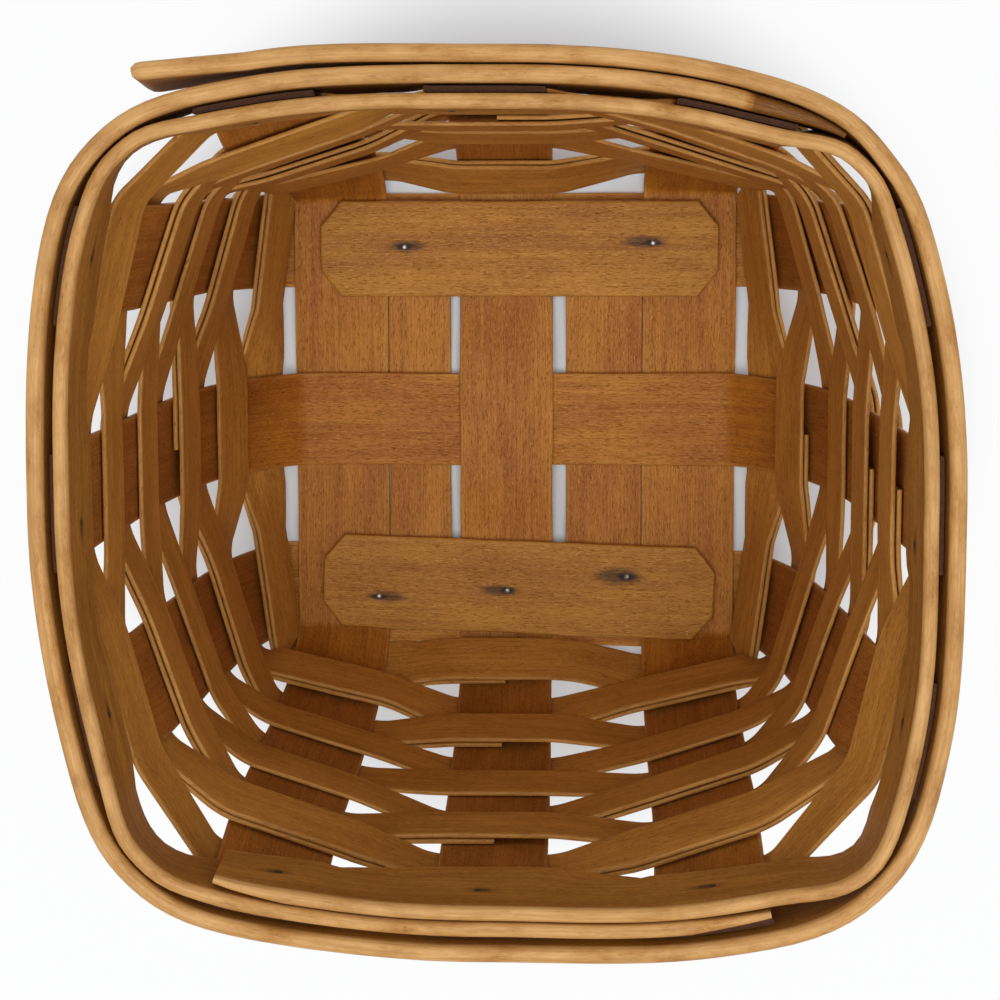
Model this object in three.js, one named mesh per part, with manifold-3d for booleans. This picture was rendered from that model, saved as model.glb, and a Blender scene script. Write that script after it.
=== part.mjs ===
// Square splint basket for spoons: a woven base, twelve upright ends, nine woven rows and a nailed rim.
// Millimetres, +Z up. The finished basket stands on z = 0 with the middle of its outer box over the origin.
// +X is its right side, +Y its back. The parts are worked out from the middle of the base.

import * as THREE from 'three';
import Module from 'manifold-3d';

// Splints
const uprightWidth = 19.05;
const uprightThick = 0.95;
const weaverWidth = 12.2;
const weaverThick = 0.8;
const slip = 0.3; // free space left between two splints that lie on each other

// Base
const stripPitch = 35.65; // from the middle of the base to the middle of an outer strip
const midStripX = -1.8; // the middle strips sit a little off centre
const midStripY = -1.1;
const crossEase = 1.2; // a strip stays level this far past the one it crosses
const fillerGap = 0.7; // between a filler and the outer upright beside it
const fillerSlotLeft = 1.9; // open slot between a filler and the middle upright
const fillerSlotRight = 2.7;
const braceLength = 81.0;
const braceOver = 0.35; // a brace is this much wider than the strip it lies along
const braceThick = 1.6;
const braceLift = 0.45; // free space under the braces
const braceEase = 0.4; // height of the eased upper edges
const braceSoft = 0.985; // and how far they draw in
const braceChamferLong = 4.2;
const braceChamferWide = 5.2;
const frontBraceTurn = -2.1; // degrees

// Walls
const rowCount = 9;
const rowGap = 0.61; // between two neighbouring rows
const firstRowLift = 1.45; // from the top of the base layers to the first row's lower edge
const lowGaps = [0.95, 0.15]; // further room above the lowest rows, which turn the tightest corners
const wallSeat = 2.3; // from the edge of the base strips to the wall at table height
const wallSwell = 14.2; // how far the wall swings out above the bend
const swellHeight = 20.6; // height over which it does so
const wallLean = 0.06; // outward lean of the upper wall
const leftLeanMore = 0.0035;
const backPull = 2.3; // the back wall stands this much nearer
const backLeanLoss = 0.0135;
const bowHeight = 28; // height over which the outer uprights fall back from the middle one
const footHeight = 9; // height over which the pulled-in feet of the uprights run out
const sideTwist = 19; // degrees, outer uprights turned towards their corner
const twistHeight = 18;
const twistTurn = 100; // above this height the twist changes over to the rim's own
const levels = 8; // stations of an upright end up the wall, closer together near its foot
const levelCrowd = 1.25;
const bendRise = 1.5; // height of the bend from base to wall
const edgeMargin = 0.8; // how far past an upright's edge a weaver bends
const cornerMargin = 0.85; // the same on the side of a corner
const edgeCut = 1.3; // length of a weaver's bend at an upright's edge
const cornerCut = 1.4; // the same on the side of a corner

// Rim
const rimHeight = 16.8;
const innerThick = 2.4;
const outerThick = 2.8;
const rimGap = 2.6; // from the top row to the lower edge of the rim
const uprightInset = 3.6; // the upright ends stop below the top of the rim
const bandRound = 0.85;
const cornerPinch = 0.3; // at the corners, with no upright end between them, each band lies this much closer
const cornerLean = 7; // degrees, the bands lean in by this much at the corners, where they bend
const cornerFull = 1.42; // how much fuller than an arc the rim turns its corners
const lapLead = 1 / 7; // how far before or past an upright end a lap starts or stops, of the way to the next end
const lapRun = 0.6; // the outer band rises onto its own start over this much of the corner before it
const lapCurve = 1.5;
const cornerSteps = 10; // stations of a band round a corner
const wallSteps = 3; // and from end to end along a wall
const tailReach = 17.6; // free end of the outer band past the middle of the last upright
const tailLift = 0.6; // it stands off the wall by this much
const tailStraight = 0.5; // how far the tail has turned back to the line of the wall
const startTaper = { su: 0.9, sn: 0.55 }; // the inner band's start is shaved down
const tailTaper = [[0.6, 1, 1], [0.9, 1, 1], [0.97, 0.97, 0.9], [1, 0.9, 0.62]]; // [along it, height, thickness]

// Nails
const nailRadius = 0.4;
const nailHead = 0.7;
const nailHeadThick = 0.3;
const nailSides = 6;
const nailPlay = 0.15; // free space round a nail in its hole
const nailStand = 0.25; // a rim nail's head stands off the curved face by this much
const nailPoint = 1.2; // length of the point
const nailTip = 0.3; // what the point leaves of the nail's radius
const nailStep = 0.01; // height of the step under the head
const nailShort = 0.9; // a rim nail ends this much inside the outer face

// Reach of a wall at table height
const wallStart = stripPitch + uprightWidth / 2 + wallSeat;

// Heights of the base layers
const lowLayer = uprightThick / 2;
const highLayer = lowLayer + uprightThick + slip;
const topLayer = highLayer + uprightThick + slip;

const rad = Math.PI / 180;
const V = (x, y, z) => new THREE.Vector3(x, y, z);
const zUp = V(0, 0, 1);
const mix = (a, b, t) => a + (b - a) * t;
const ease = (t) => {
  const q = Math.min(1, Math.max(0, t));
  return q * q * (3 - 2 * q);
};

// Walls in ring order, counterclockwise from above. Each has its outward and its running direction.
const walls = {
  front: { out: V(0, -1, 0), along: V(1, 0, 0), pull: 0, lean: wallLean },
  right: { out: V(1, 0, 0), along: V(0, 1, 0), pull: 0, lean: wallLean },
  back: { out: V(0, 1, 0), along: V(-1, 0, 0), pull: backPull, lean: wallLean - backLeanLoss },
  left: { out: V(-1, 0, 0), along: V(0, -1, 0), pull: 0, lean: wallLean + leftLeanMore },
};

// Reach of a wall's middle at height z, and its slope.
const wallReach = (w, z) => wallStart - w.pull + wallSwell * (1 - Math.exp(-z / swellHeight)) + w.lean * z;

// Row heights follow the slope of the front wall, one weaver and one gap apart.
const rowPitch = weaverWidth + rowGap;
const rowHeights = [];
{
  let z = highLayer + uprightThick / 2 + firstRowLift;
  const step = 0.1;
  let walked = 0;
  let next = weaverWidth / 2;
  while (rowHeights.length < rowCount) {
    const dr = wallReach(walls.front, z + step) - wallReach(walls.front, z);
    walked += Math.hypot(dr, step);
    z += step;
    if (walked >= next) {
      rowHeights.push(z);
      next += rowPitch + (lowGaps[rowHeights.length - 1] ?? 0);
    }
  }
}
const rimBottom = rowHeights[rowCount - 1] + weaverWidth / 2 + rimGap;
const rimTop = rimBottom + rimHeight;
const rimMid = (rimBottom + rimTop) / 2;
const uprightTop = rimTop - uprightInset;

// The twelve upright ends in ring order. side is -1 before, 0 at and 1 after the middle of the wall; mid and set are
// the places of a middle and of an outer strip on the base. foot is how far the end's foot is pulled in by the first
// row, fan how far the end has moved away from the middle of the wall by the top of the rim, nail where its nail is.
// bow is how far an outer end stands back from the middle one on the wall, up to the height hold; rimBow is the same
// at the rim and rimTurn its angle there in degrees: the hand-bent rim has two fuller and two rounder corners.
const ring = [
  { name: 'front_middle', wall: 'front', side: 0, mid: midStripX, foot: 2.2, nail: -1.6 },
  {
    name: 'front_right', wall: 'front', side: 1, set: 0, foot: 1.0, fan: -0.6, nail: 0.4,
    bow: 5.8, hold: 86, rimBow: 1.0, rimTurn: 8,
  },
  {
    name: 'right_front', wall: 'right', side: -1, set: 2.6, foot: 0, fan: -0.9, nail: 1.8,
    bow: 7.2, hold: 96, rimBow: 1.6, rimTurn: 9.5,
  },
  { name: 'right_middle', wall: 'right', side: 0, mid: midStripY, foot: 6.2, nail: -5.4 },
  {
    name: 'right_back', wall: 'right', side: 1, set: 0, foot: 0, fan: 2.2, nail: 2.6,
    bow: 6.0, hold: 92, rimBow: 4.7, rimTurn: 15,
  },
  {
    name: 'back_right', wall: 'back', side: -1, set: 0, foot: 0.2, fan: 1.6, nail: 3.0,
    bow: 6.0, hold: 90, rimBow: 4.2, rimTurn: 14,
  },
  { name: 'back_middle', wall: 'back', side: 0, mid: -midStripX, foot: 0, nail: 5.2 },
  {
    name: 'back_left', wall: 'back', side: 1, set: 0, foot: 2.0, fan: 1.9, nail: 0.8,
    bow: 7.4, hold: 90, rimBow: 2.1, rimTurn: 9,
  },
  {
    name: 'left_back', wall: 'left', side: -1, set: 0, foot: 0, fan: 2.4, nail: -1.5,
    bow: 7.4, hold: 92, rimBow: 2.5, rimTurn: 10.4,
  },
  { name: 'left_middle', wall: 'left', side: 0, mid: -midStripY, foot: 6.2, nail: 2.2 },
  {
    name: 'left_front', wall: 'left', side: 1, set: 0.8, foot: 0, fan: -0.4, nail: -0.8,
    bow: 6.8, hold: 95, rimBow: 4.05, rimTurn: 12,
  },
  {
    name: 'front_left', wall: 'front', side: -1, set: 0, foot: 3.2, fan: 3.6, nail: 2.3,
    bow: 7.1, hold: 86, rimBow: 3.4, rimTurn: 10,
  },
];
const endCount = ring.length;
const endAt = (i) => ring[((i % endCount) + endCount) % endCount];
const placeOf = (name) => ring.findIndex((end) => end.name === name);

// Middle line of an upright end at height z: position, and the directions across and up it.
const rimShare = (z, turn) => ease((z - turn) / (rimBottom - turn));
function linePoint(end, z) {
  const w = walls[end.wall];
  const h = Math.max(0, z);
  const middle = end.side === 0;
  const bow = middle ? 0 : mix(end.bow * (1 - Math.exp(-h / bowHeight)), end.rimBow, rimShare(h, end.hold));
  const pulledIn = end.foot * Math.exp(-h / footHeight);
  const lateral = middle ? end.mid : end.side * (stripPitch + end.set + (end.fan * h) / rimTop);
  return w.along.clone().multiplyScalar(lateral)
    .addScaledVector(w.out, wallReach(w, z) - bow - pulledIn)
    .setZ(z);
}
function endFrame(end, z) {
  const w = walls[end.wall];
  const twist = sideTwist * (1 - Math.exp(-z / twistHeight));
  const turn = end.side === 0 ? 0 : mix(twist, end.rimTurn, rimShare(z, twistTurn)) * end.side * rad;
  const across = w.along.clone().multiplyScalar(Math.cos(turn))
    .addScaledVector(w.out, -Math.sin(turn));
  const up = linePoint(end, z + 0.2).sub(linePoint(end, z - 0.2)).normalize();
  const out = across.clone().cross(up).normalize();
  return { at: linePoint(end, z), across, up, out };
}

// Solid swept along stations. A station has a place, two directions, two scales for its section and, where the
// section is bent, a cup: how far it leaves the flat at a distance from its middle.
// The section is a closed polygon of [along u, along n] points, as many on one side as on the other.
function sweep(stations, section) {
  const n = section.length;
  const verts = [];
  for (const s of stations) {
    for (const [a, b] of section) {
      const q = s.at.clone()
        .addScaledVector(s.u, a * (s.su ?? 1))
        .addScaledVector(s.n, b * (s.sn ?? 1) + (s.cup ? s.cup(a) : 0));
      verts.push(q.x, q.y, q.z);
    }
  }
  const idx = [];
  const last = stations.length - 1;
  for (let i = 0; i < last; i++) {
    for (let k = 0; k < n; k++) {
      const a = i * n + k;
      const b = i * n + ((k + 1) % n);
      idx.push(a, b, b + n, a, b + n, a + n);
    }
  }
  for (let k = 0; k < n / 2 - 1; k++) {
    const [a, b, c, d] = [k, k + 1, n - 2 - k, n - 1 - k];
    idx.push(a, c, b, a, d, c);
    idx.push(...[a, b, c, a, c, d].map((v) => last * n + v));
  }
  let volume = 0;
  const p = (i) => V(verts[3 * i], verts[3 * i + 1], verts[3 * i + 2]);
  for (let i = 0; i < idx.length; i += 3) {
    volume += p(idx[i]).dot(p(idx[i + 1]).cross(p(idx[i + 2])));
  }
  if (volume < 0) {
    for (let i = 0; i < idx.length; i += 3) {
      [idx[i + 1], idx[i + 2]] = [idx[i + 2], idx[i + 1]];
    }
  }
  const g = new THREE.BufferGeometry();
  g.setAttribute('position', new THREE.BufferAttribute(new Float32Array(verts), 3));
  g.setIndex(idx);
  return g;
}
const box = (wide, thick) => [
  [-wide / 2, -thick / 2],
  [wide / 2, -thick / 2],
  [wide / 2, thick / 2],
  [-wide / 2, thick / 2],
];
const bendableBox = (wide, thick) => {
  const across = [-1 / 2, -1 / 6, 1 / 6, 1 / 2].map((share) => share * wide);
  return [
    ...across.map((a) => [a, -thick / 2]),
    ...across.reverse().map((a) => [a, thick / 2]),
  ];
};

// Point of a cubic curve between two places with given directions: an arc, or fuller than an arc where it turns far.
function bendAt(p0, d0, p1, d1, t) {
  const chord = p0.distanceTo(p1);
  const phi = Math.max(0.01, d0.angleTo(d1));
  const pull = chord * (2 * Math.tan(phi / 4)) / Math.sin(phi / 2) * mix(1, cornerFull, ease(phi));
  return p0.clone().multiplyScalar(2 * t ** 3 - 3 * t ** 2 + 1)
    .addScaledVector(d0, (t ** 3 - 2 * t ** 2 + t) * pull)
    .addScaledVector(p1, -2 * t ** 3 + 3 * t ** 2)
    .addScaledVector(d1, (t ** 3 - t ** 2) * pull);
}

// How far the rim is round a corner where it runs in a direction: 0 along the walls, 1 across the corner.
const roundCorner = (run) => (2 * run.x * run.y) ** 4;

// The rim line is one smooth closed curve through the upright ends at the middle of the rim. Whole numbers are its
// places at the ends, in ring order; the rest lie between them.
function rimPlace(place) {
  const i = Math.floor(place);
  const t = place - i;
  const [a, b] = [i, i + 1].map((k) => endFrame(endAt(k), rimMid));
  const line = (q) => bendAt(a.at, a.across, b.at, b.across, q);
  const run = line(t + 0.01).sub(line(t - 0.01)).normalize();
  const up = a.up.clone().lerp(b.up, t);
  up.addScaledVector(run, -run.dot(up)).normalize();
  const out = run.clone().cross(up);
  const round = roundCorner(run);
  const lean = cornerLean * rad * round;
  return {
    at: line(t),
    lean,
    pinch: cornerPinch * round ** 2,
    u: up.clone().multiplyScalar(Math.cos(lean)).addScaledVector(out, -Math.sin(lean)),
    n: out.clone().multiplyScalar(Math.cos(lean)).addScaledVector(up, Math.sin(lean)),
  };
}

// Stations from places with an up direction; the direction of the run halves the angle between neighbours.
function alongPlaces(places) {
  return places.map((s, i) => {
    const ahead = places[Math.min(places.length - 1, i + 1)].at.clone().sub(s.at).normalize();
    const behind = s.at.clone().sub(places[Math.max(0, i - 1)].at).normalize();
    const run = ahead.add(behind).normalize();
    const u = s.up.clone().addScaledVector(run, -run.dot(s.up)).normalize();
    return { at: s.at, u, n: run.clone().cross(u).normalize() };
  });
}
const cutMost = 0.45; // a cut takes no more than this of a run
// Straight runs between corners {at, up, cut, steps}, each corner rounded over the length of its cut.
function straightRuns(corners) {
  const places = [];
  corners.forEach((c, i) => {
    if (i === 0 || i === corners.length - 1) {
      places.push({ at: c.at.clone(), up: c.up });
      return;
    }
    const toward = (other) => {
      const d = other.at.distanceTo(c.at);
      return c.at.clone().lerp(other.at, Math.min(c.cut / d, cutMost));
    };
    const enter = toward(corners[i - 1]);
    const leave = toward(corners[i + 1]);
    for (let k = 0; k <= c.steps; k++) {
      const t = k / c.steps;
      const at = enter.clone().multiplyScalar((1 - t) ** 2)
        .addScaledVector(c.at, 2 * t * (1 - t))
        .addScaledVector(leave, t * t);
      places.push({ at, up: c.up });
    }
  });
  return alongPlaces(places);
}

// Solid cutting and the way back to a mesh geometry.
const wasm = await Module();
wasm.setup();
function toSolid(g) {
  return new wasm.Manifold(new wasm.Mesh({
    numProp: 3,
    vertProperties: new Float32Array(g.attributes.position.array),
    triVerts: new Uint32Array(g.index.array),
  }));
}
function toGeometry(solid) {
  const m = solid.getMesh();
  const g = new THREE.BufferGeometry();
  g.setAttribute('position', new THREE.BufferAttribute(new Float32Array(m.vertProperties), 3));
  g.setIndex(Array.from(m.triVerts));
  return g;
}

// Straight round rod from a place along a direction, as stations of a swept polygon.
function rod(from, dir, parts, sides) {
  const ref = Math.abs(dir.z) > 0.9 ? V(1, 0, 0) : zUp;
  const u = ref.clone().addScaledVector(dir, -dir.dot(ref)).normalize();
  const n = dir.clone().cross(u).normalize();
  const section = [];
  for (let i = 0; i < sides; i++) {
    section.push([Math.cos((2 * Math.PI * i) / sides), Math.sin((2 * Math.PI * i) / sides)]);
  }
  const stations = parts.map(([d, r]) => ({ at: from.clone().addScaledVector(dir, d), u, n, su: r, sn: r }));
  return sweep(stations, section);
}
function nailShape(from, dir, length) {
  return rod(from, dir, [
    [0, nailHead],
    [nailHeadThick, nailHead],
    [nailHeadThick + nailStep, nailRadius],
    [length - nailPoint, nailRadius],
    [length, nailRadius * nailTip],
  ], nailSides);
}
const nailHole = (from, dir, length) => rod(from, dir, [
  [-1, nailRadius + nailPlay],
  [length + nailPlay, nailRadius + nailPlay],
], nailSides);

// Colours of the wood and the nails
const wood = (hex, rough) => new THREE.MeshStandardMaterial({ color: hex, roughness: rough, metalness: 0 });
const baseWood = wood(0x9a5a22, 0.6);
const wallWood = wood(0x7c4614, 0.62);
const rimWood = wood(0xc08a4c, 0.58);
const nailSteel = new THREE.MeshStandardMaterial({ color: 0x6f6a64, roughness: 0.45, metalness: 1 });

const basket = new THREE.Group();
const base = new THREE.Group();
const weave = new THREE.Group();
const rim = new THREE.Group();
const nails = new THREE.Group();
basket.add(base, weave, rim, nails);
const shapes = new Map();
const keep = (group, name, geometry, material) => shapes.set(name, { group, geometry, material });

// An upright end is bent with the rim: cupOf gives how far the rim leaves the flat of an end at a distance from the
// end's middle and at a height over the rim line.
const cupSteps = 80;
function cupOf(i) {
  const f = endFrame(endAt(i), rimMid);
  const side = (s) => {
    const line = [];
    for (let k = 0; k < cupSteps; k++) {
      const r = rimPlace(i + (s * k) / cupSteps);
      const off = r.at.sub(f.at);
      line.push({ d: off.dot(f.across) * s, off: off.dot(f.out), lean: r.lean });
    }
    return line;
  };
  const lines = [side(-1), side(1)];
  return (a, h = 0) => {
    const line = lines[a < 0 ? 0 : 1];
    const d = Math.abs(a);
    const k = Math.max(1, line.findIndex((p) => p.d >= d));
    const [p, q] = [line[k - 1], line[k]];
    const t = (d - p.d) / (q.d - p.d);
    return mix(p.off, q.off, t) - h * Math.tan(mix(p.lean, q.lean, t));
  };
}
// Stations of one upright end from the base to the rim. start is the height of the strip on the base.
function wallStations(i, start) {
  const end = ring[i];
  const first = start + bendRise;
  const foot = endFrame(end, first);
  const w = walls[end.wall];
  const rise = foot.at.z - start;
  const slope = foot.up.clone().multiplyScalar(rise / foot.up.z);
  const corner = foot.at.clone().sub(slope);
  const toward = w.out.clone();
  const begin = corner.clone().addScaledVector(toward, -slope.length());
  begin.addScaledVector(w.along, linePoint(end, 0).dot(w.along) - begin.dot(w.along));
  const out = [];
  const steps = 3;
  for (let k = 0; k < steps; k++) {
    const t = k / steps;
    const at = begin.clone().multiplyScalar((1 - t) ** 2)
      .addScaledVector(corner, 2 * t * (1 - t))
      .addScaledVector(foot.at, t * t);
    const across = w.along.clone().lerp(foot.across, t * t).normalize();
    const run = corner.clone().sub(begin).multiplyScalar(1 - t)
      .addScaledVector(foot.at.clone().sub(corner), t)
      .normalize();
    out.push({ at, u: across, n: across.clone().cross(run).normalize() });
  }
  const wallTop = rimBottom - rimGap;
  for (let k = 0; k <= levels; k++) {
    const f = endFrame(end, mix(first, wallTop, (k / levels) ** levelCrowd));
    out.push({ at: f.at, u: f.across, n: f.out });
  }
  const cup = cupOf(i);
  for (const z of [rimBottom, uprightTop]) {
    const f = endFrame(end, z);
    out.push({ at: f.at, u: f.across, n: f.out, cup: (a) => cup(a, z - rimMid) });
  }
  return out;
}
const mirrored = (list) => list.slice().reverse().map((s) => ({
  at: s.at,
  u: s.u.clone().negate(),
  n: s.n.clone(),
  cup: s.cup && ((a) => s.cup(-a)),
}));

// An upright strip: up one wall, across the base and up the other. height(d) is its level on the base,
// d measured along the strip from the middle of the base.
function uprightStrip(endA, endB, start, height, marks) {
  const a = wallStations(placeOf(endA), start);
  const b = wallStations(placeOf(endB), start);
  const pa = a[0].at;
  const pb = b[0].at;
  const along = pb.clone().sub(pa).setZ(0).normalize();
  const across = b[0].u;
  const flat = [];
  const from = pa.dot(along);
  const to = pb.dot(along);
  for (const d of marks) {
    if (d <= from + 0.5 || d >= to - 0.5) continue;
    const at = pa.clone().lerp(pb, (d - from) / (to - from)).setZ(height(d));
    const run = along.clone().addScaledVector(zUp, (height(d + 0.05) - height(d - 0.05)) / 0.1).normalize();
    flat.push({ at, u: across.clone(), n: across.clone().cross(run).normalize() });
  }
  return sweep([...mirrored(a), ...flat, ...b], bendableBox(uprightWidth, uprightThick));
}
// Level of a strip that passes another one at the middle of the base.
const halfCross = uprightWidth / 2;
const passing = (from, to, centre) => (d) => {
  const rest = stripPitch - halfCross;
  const t = (Math.abs(d - centre) - halfCross - crossEase) / (rest - halfCross - 2 * crossEase);
  return mix(to, from, ease(t));
};
const dipMarks = (centre) => {
  const near = halfCross + crossEase;
  const far = stripPitch - halfCross - crossEase;
  const list = [];
  for (const t of [0, 0.25, 0.5, 0.75, 1]) list.push(mix(near, far, t));
  return [...list.map((d) => centre - d).reverse(), ...list.map((d) => centre + d)];
};

const dip = passing(highLayer, lowLayer, midStripY);
const arch = passing(highLayer, topLayer, midStripY);
const alongY = dipMarks(midStripY);
const level = (h) => () => h;

const strips = [
  ['upright_left', 'front_left', 'back_left', highLayer, dip, alongY],
  ['upright_middle', 'front_middle', 'back_middle', highLayer, arch, alongY],
  ['upright_right', 'front_right', 'back_right', highLayer, dip, alongY],
  ['cross_upright_front', 'left_front', 'right_front', lowLayer, level(lowLayer), [0]],
  ['cross_upright_middle', 'left_middle', 'right_middle', highLayer, level(highLayer), [0]],
  ['cross_upright_back', 'left_back', 'right_back', lowLayer, level(lowLayer), [0]],
];
for (const [name, endA, endB, start, height, marks] of strips) {
  keep(base, name, uprightStrip(endA, endB, start, height, marks), wallWood);
}
const stripOf = (end) => strips.find(([, endA, endB]) => endA === end.name || endB === end.name);

// Fillers close the base beside the middle upright. Their ends lie under the braces.
const braceWidth = uprightWidth + braceOver;
const fillerTuck = 3; // how far a filler's end stays inside the brace's outer edge
function filler(x, width) {
  const half = stripPitch + braceWidth / 2 - fillerTuck;
  const marks = [-half, ...alongY, half];
  const stations = marks.map((d) => {
    const run = V(0, 1, (dip(d + 0.05) - dip(d - 0.05)) / 0.1).normalize();
    return { at: V(x, d, dip(d)), u: V(1, 0, 0), n: V(1, 0, 0).cross(run).normalize() };
  });
  return sweep(stations, box(width, uprightThick));
}
const innerEdge = stripPitch - uprightWidth / 2;
const fillerWidthLeft = innerEdge + midStripX - uprightWidth / 2 - fillerGap - fillerSlotLeft;
const fillerWidthRight = innerEdge - midStripX - uprightWidth / 2 - fillerGap - fillerSlotRight;
const fillerLeftX = -innerEdge + fillerGap + fillerWidthLeft / 2;
const fillerRightX = innerEdge - fillerGap - fillerWidthRight / 2;
keep(base, 'base_filler_left', filler(fillerLeftX, fillerWidthLeft), baseWood);
keep(base, 'base_filler_right', filler(fillerRightX, fillerWidthRight), baseWood);

// Braces: flat boards with clipped corners, nailed over the strips.
const braceBottom = highLayer + uprightThick / 2 + braceLift;
const braceTop = braceBottom + braceThick;
function brace(x, y, turn) {
  const outline = new THREE.Shape();
  const l = braceLength / 2;
  const h = braceWidth / 2;
  outline.moveTo(-l + braceChamferLong, -h);
  outline.lineTo(l - braceChamferLong, -h);
  outline.lineTo(l, -h + braceChamferWide);
  outline.lineTo(l, h - braceChamferWide);
  outline.lineTo(l - braceChamferLong, h);
  outline.lineTo(-l + braceChamferLong, h);
  outline.lineTo(-l, h - braceChamferWide);
  outline.lineTo(-l, -h + braceChamferWide);
  outline.closePath();
  const corners = outline.getPoints();
  if (corners[0].distanceTo(corners[corners.length - 1]) < 1e-6) corners.pop();
  const spin = turn * rad;
  const u = V(Math.cos(spin), Math.sin(spin), 0);
  const n = V(-Math.sin(spin), Math.cos(spin), 0);
  return sweep([
    { at: V(x, y, braceBottom), u, n },
    { at: V(x, y, braceTop - braceEase), u, n },
    { at: V(x, y, braceTop), u, n, su: braceSoft, sn: braceSoft },
  ], corners.map((q) => [q.x, q.y]));
}
const backBrace = { x: 0.9, y: stripPitch - 1.6 };
const frontBrace = { x: 0.7, y: -stripPitch - 0.3 };
keep(base, 'base_brace_back', brace(backBrace.x, backBrace.y, 0), baseWood);
keep(base, 'base_brace_front', brace(frontBrace.x, frontBrace.y, frontBraceTurn), baseWood);

// Weavers. A row runs counterclockwise round the uprights and overlaps its own start on the outside.
// last is the upright end where the overlapping tail stops, laps how many uprights it overlaps.
const rows = [
  { last: 'front_middle', laps: 11 },
  { last: 'right_middle', laps: 5 },
  { last: 'front_middle', laps: 5 },
  { last: 'left_middle', laps: 5 },
  { last: 'back_middle', laps: 3 },
  { last: 'right_middle', laps: 3 },
  { last: 'front_middle', laps: 5 },
  { last: 'right_middle', laps: 5 },
  { last: 'back_middle', laps: 3 },
];
const closeOn = uprightThick / 2 + slip + weaverThick / 2;
const layer = weaverThick + slip;
function insideAt(row, i) {
  return (((i % 2) + 2) % 2 === 0) === (row % 2 === 0);
}
// Extra room that a flat weaver needs on a curved and twisted upright, on the side where it crosses it.
const roomStep = 0.05;
const endLines = ring.map((end, i) => wallStations(i, stripOf(end)[3]));
function room(i, f, sign) {
  const line = endLines[((i % endCount) + endCount) % endCount];
  const reach = weaverWidth / 2 + slip;
  let need = 0;
  for (let k = 1; k < line.length; k++) {
    for (let t = 0; t <= 1; t += roomStep) {
      const mid = line[k - 1].at.clone().lerp(line[k].at, t).sub(f.at);
      const across = line[k - 1].u.clone().lerp(line[k].u, t);
      for (const s of [-1, 0, 1]) {
        const q = mid.clone().addScaledVector(across, (s * uprightWidth) / 2);
        if (Math.abs(q.dot(f.up)) <= reach) need = Math.max(need, sign * q.dot(f.out));
      }
    }
  }
  return need;
}
function weaver(row) {
  const { last, laps } = rows[row];
  const z = rowHeights[row];
  const to = placeOf(last) + 2 * endCount;
  const from = to - laps - endCount;
  const corners = [];
  for (let i = from; i <= to; i++) {
    const end = endAt(i);
    const f = endFrame(end, z);
    const inside = insideAt(row, i);
    const first = i <= to - endCount;
    const second = i >= from + endCount;
    const lapped = inside ? first : second;
    const sign = inside ? -1 : 1;
    const off = sign * (closeOn + (lapped ? layer : 0) + room(i, f, sign));
    const corner = (s) => {
      const turning = s === end.side;
      const half = uprightWidth / 2 + (turning ? cornerMargin : edgeMargin);
      return {
        at: f.at.clone().addScaledVector(f.across, s * half).addScaledVector(f.out, off),
        up: f.up,
        cut: turning ? cornerCut : edgeCut,
        steps: turning ? 2 : 1,
      };
    };
    if (i === from || i === to) corners.push({ at: f.at.clone().addScaledVector(f.out, off), up: f.up });
    if (i > from) corners.splice(i === to ? -1 : corners.length, 0, corner(-1));
    if (i < to) corners.push(corner(1));
  }
  return sweep(straightRuns(corners), box(weaverWidth, weaverThick));
}
for (let row = 0; row < rowCount; row++) keep(weave, 'weaver_row_' + (row + 1), weaver(row), wallWood);

// Rim bands: a rounded section, bent round the upright ends.
const bandSection = (thick) => {
  const h = rimHeight / 2;
  const t = thick / 2;
  const r = bandRound;
  return [
    [-h, -t + r], [-h + r, -t], [h - r, -t], [h, -t + r],
    [h, t - r], [h - r, t], [-h + r, t], [-h, t - r],
  ];
};
const bandOn = (thick) => uprightThick / 2 + slip + thick / 2;
// A band along the rim line from one place to another; offAt gives its distance from the line.
function bandRun(from, to, offAt) {
  const places = [from];
  for (let i = Math.floor(from); i < to; i++) {
    const steps = endAt(i).wall === endAt(i + 1).wall ? wallSteps : cornerSteps;
    for (let k = 0; k < steps; k++) {
      const place = i + k / steps;
      if (place > from + lapLead / 4 && place < to - lapLead / 4) places.push(place);
    }
  }
  places.push(to);
  return places.map((place) => {
    const r = rimPlace(place);
    const off = offAt(place);
    return { at: r.at.addScaledVector(r.n, off - Math.sign(off) * r.pinch), u: r.u, n: r.n };
  });
}
// The inner band starts at the front left corner as the inner layer and ends under itself at the front right.
function innerBand() {
  const start = placeOf('front_left') - endCount - lapLead;
  const lapEnd = placeOf('front_right') + lapLead;
  const single = -bandOn(innerThick);
  const doubled = single - innerThick - slip;
  const lapOver = placeOf('right_front') - lapLead;
  const off = (place) => mix(doubled, single, ease((place - lapEnd) / (lapOver - lapEnd)));
  const list = bandRun(start, lapEnd + endCount, off);
  Object.assign(list[0], startTaper);
  return list;
}
// The outer band starts at the back right, goes round once, doubles along the back and runs out into a tail.
function outerBand() {
  const start = placeOf('back_right');
  const lapStart = start + endCount;
  const end = placeOf('back_left') + endCount;
  const single = bandOn(outerThick);
  const doubled = single + outerThick + slip;
  const list = bandRun(start, end, (place) => {
    const risen = Math.min(1, Math.max(0, (place - lapStart) / lapRun + 1)) ** lapCurve;
    return mix(single, doubled, risen) + tailLift * ease(place - end + 1);
  });
  const tail = list[list.length - 1];
  const run = tail.u.clone().cross(tail.n).lerp(walls.back.along, tailStraight).normalize();
  for (const [d, su, sn] of tailTaper) {
    list.push({ at: tail.at.clone().addScaledVector(run, tailReach * d), u: tail.u, n: tail.n, su, sn });
  }
  return list;
}
keep(rim, 'rim_band_inner', sweep(innerBand(), bandSection(innerThick)), rimWood);
keep(rim, 'rim_band_outer', sweep(outerBand(), bandSection(outerThick)), rimWood);

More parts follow.
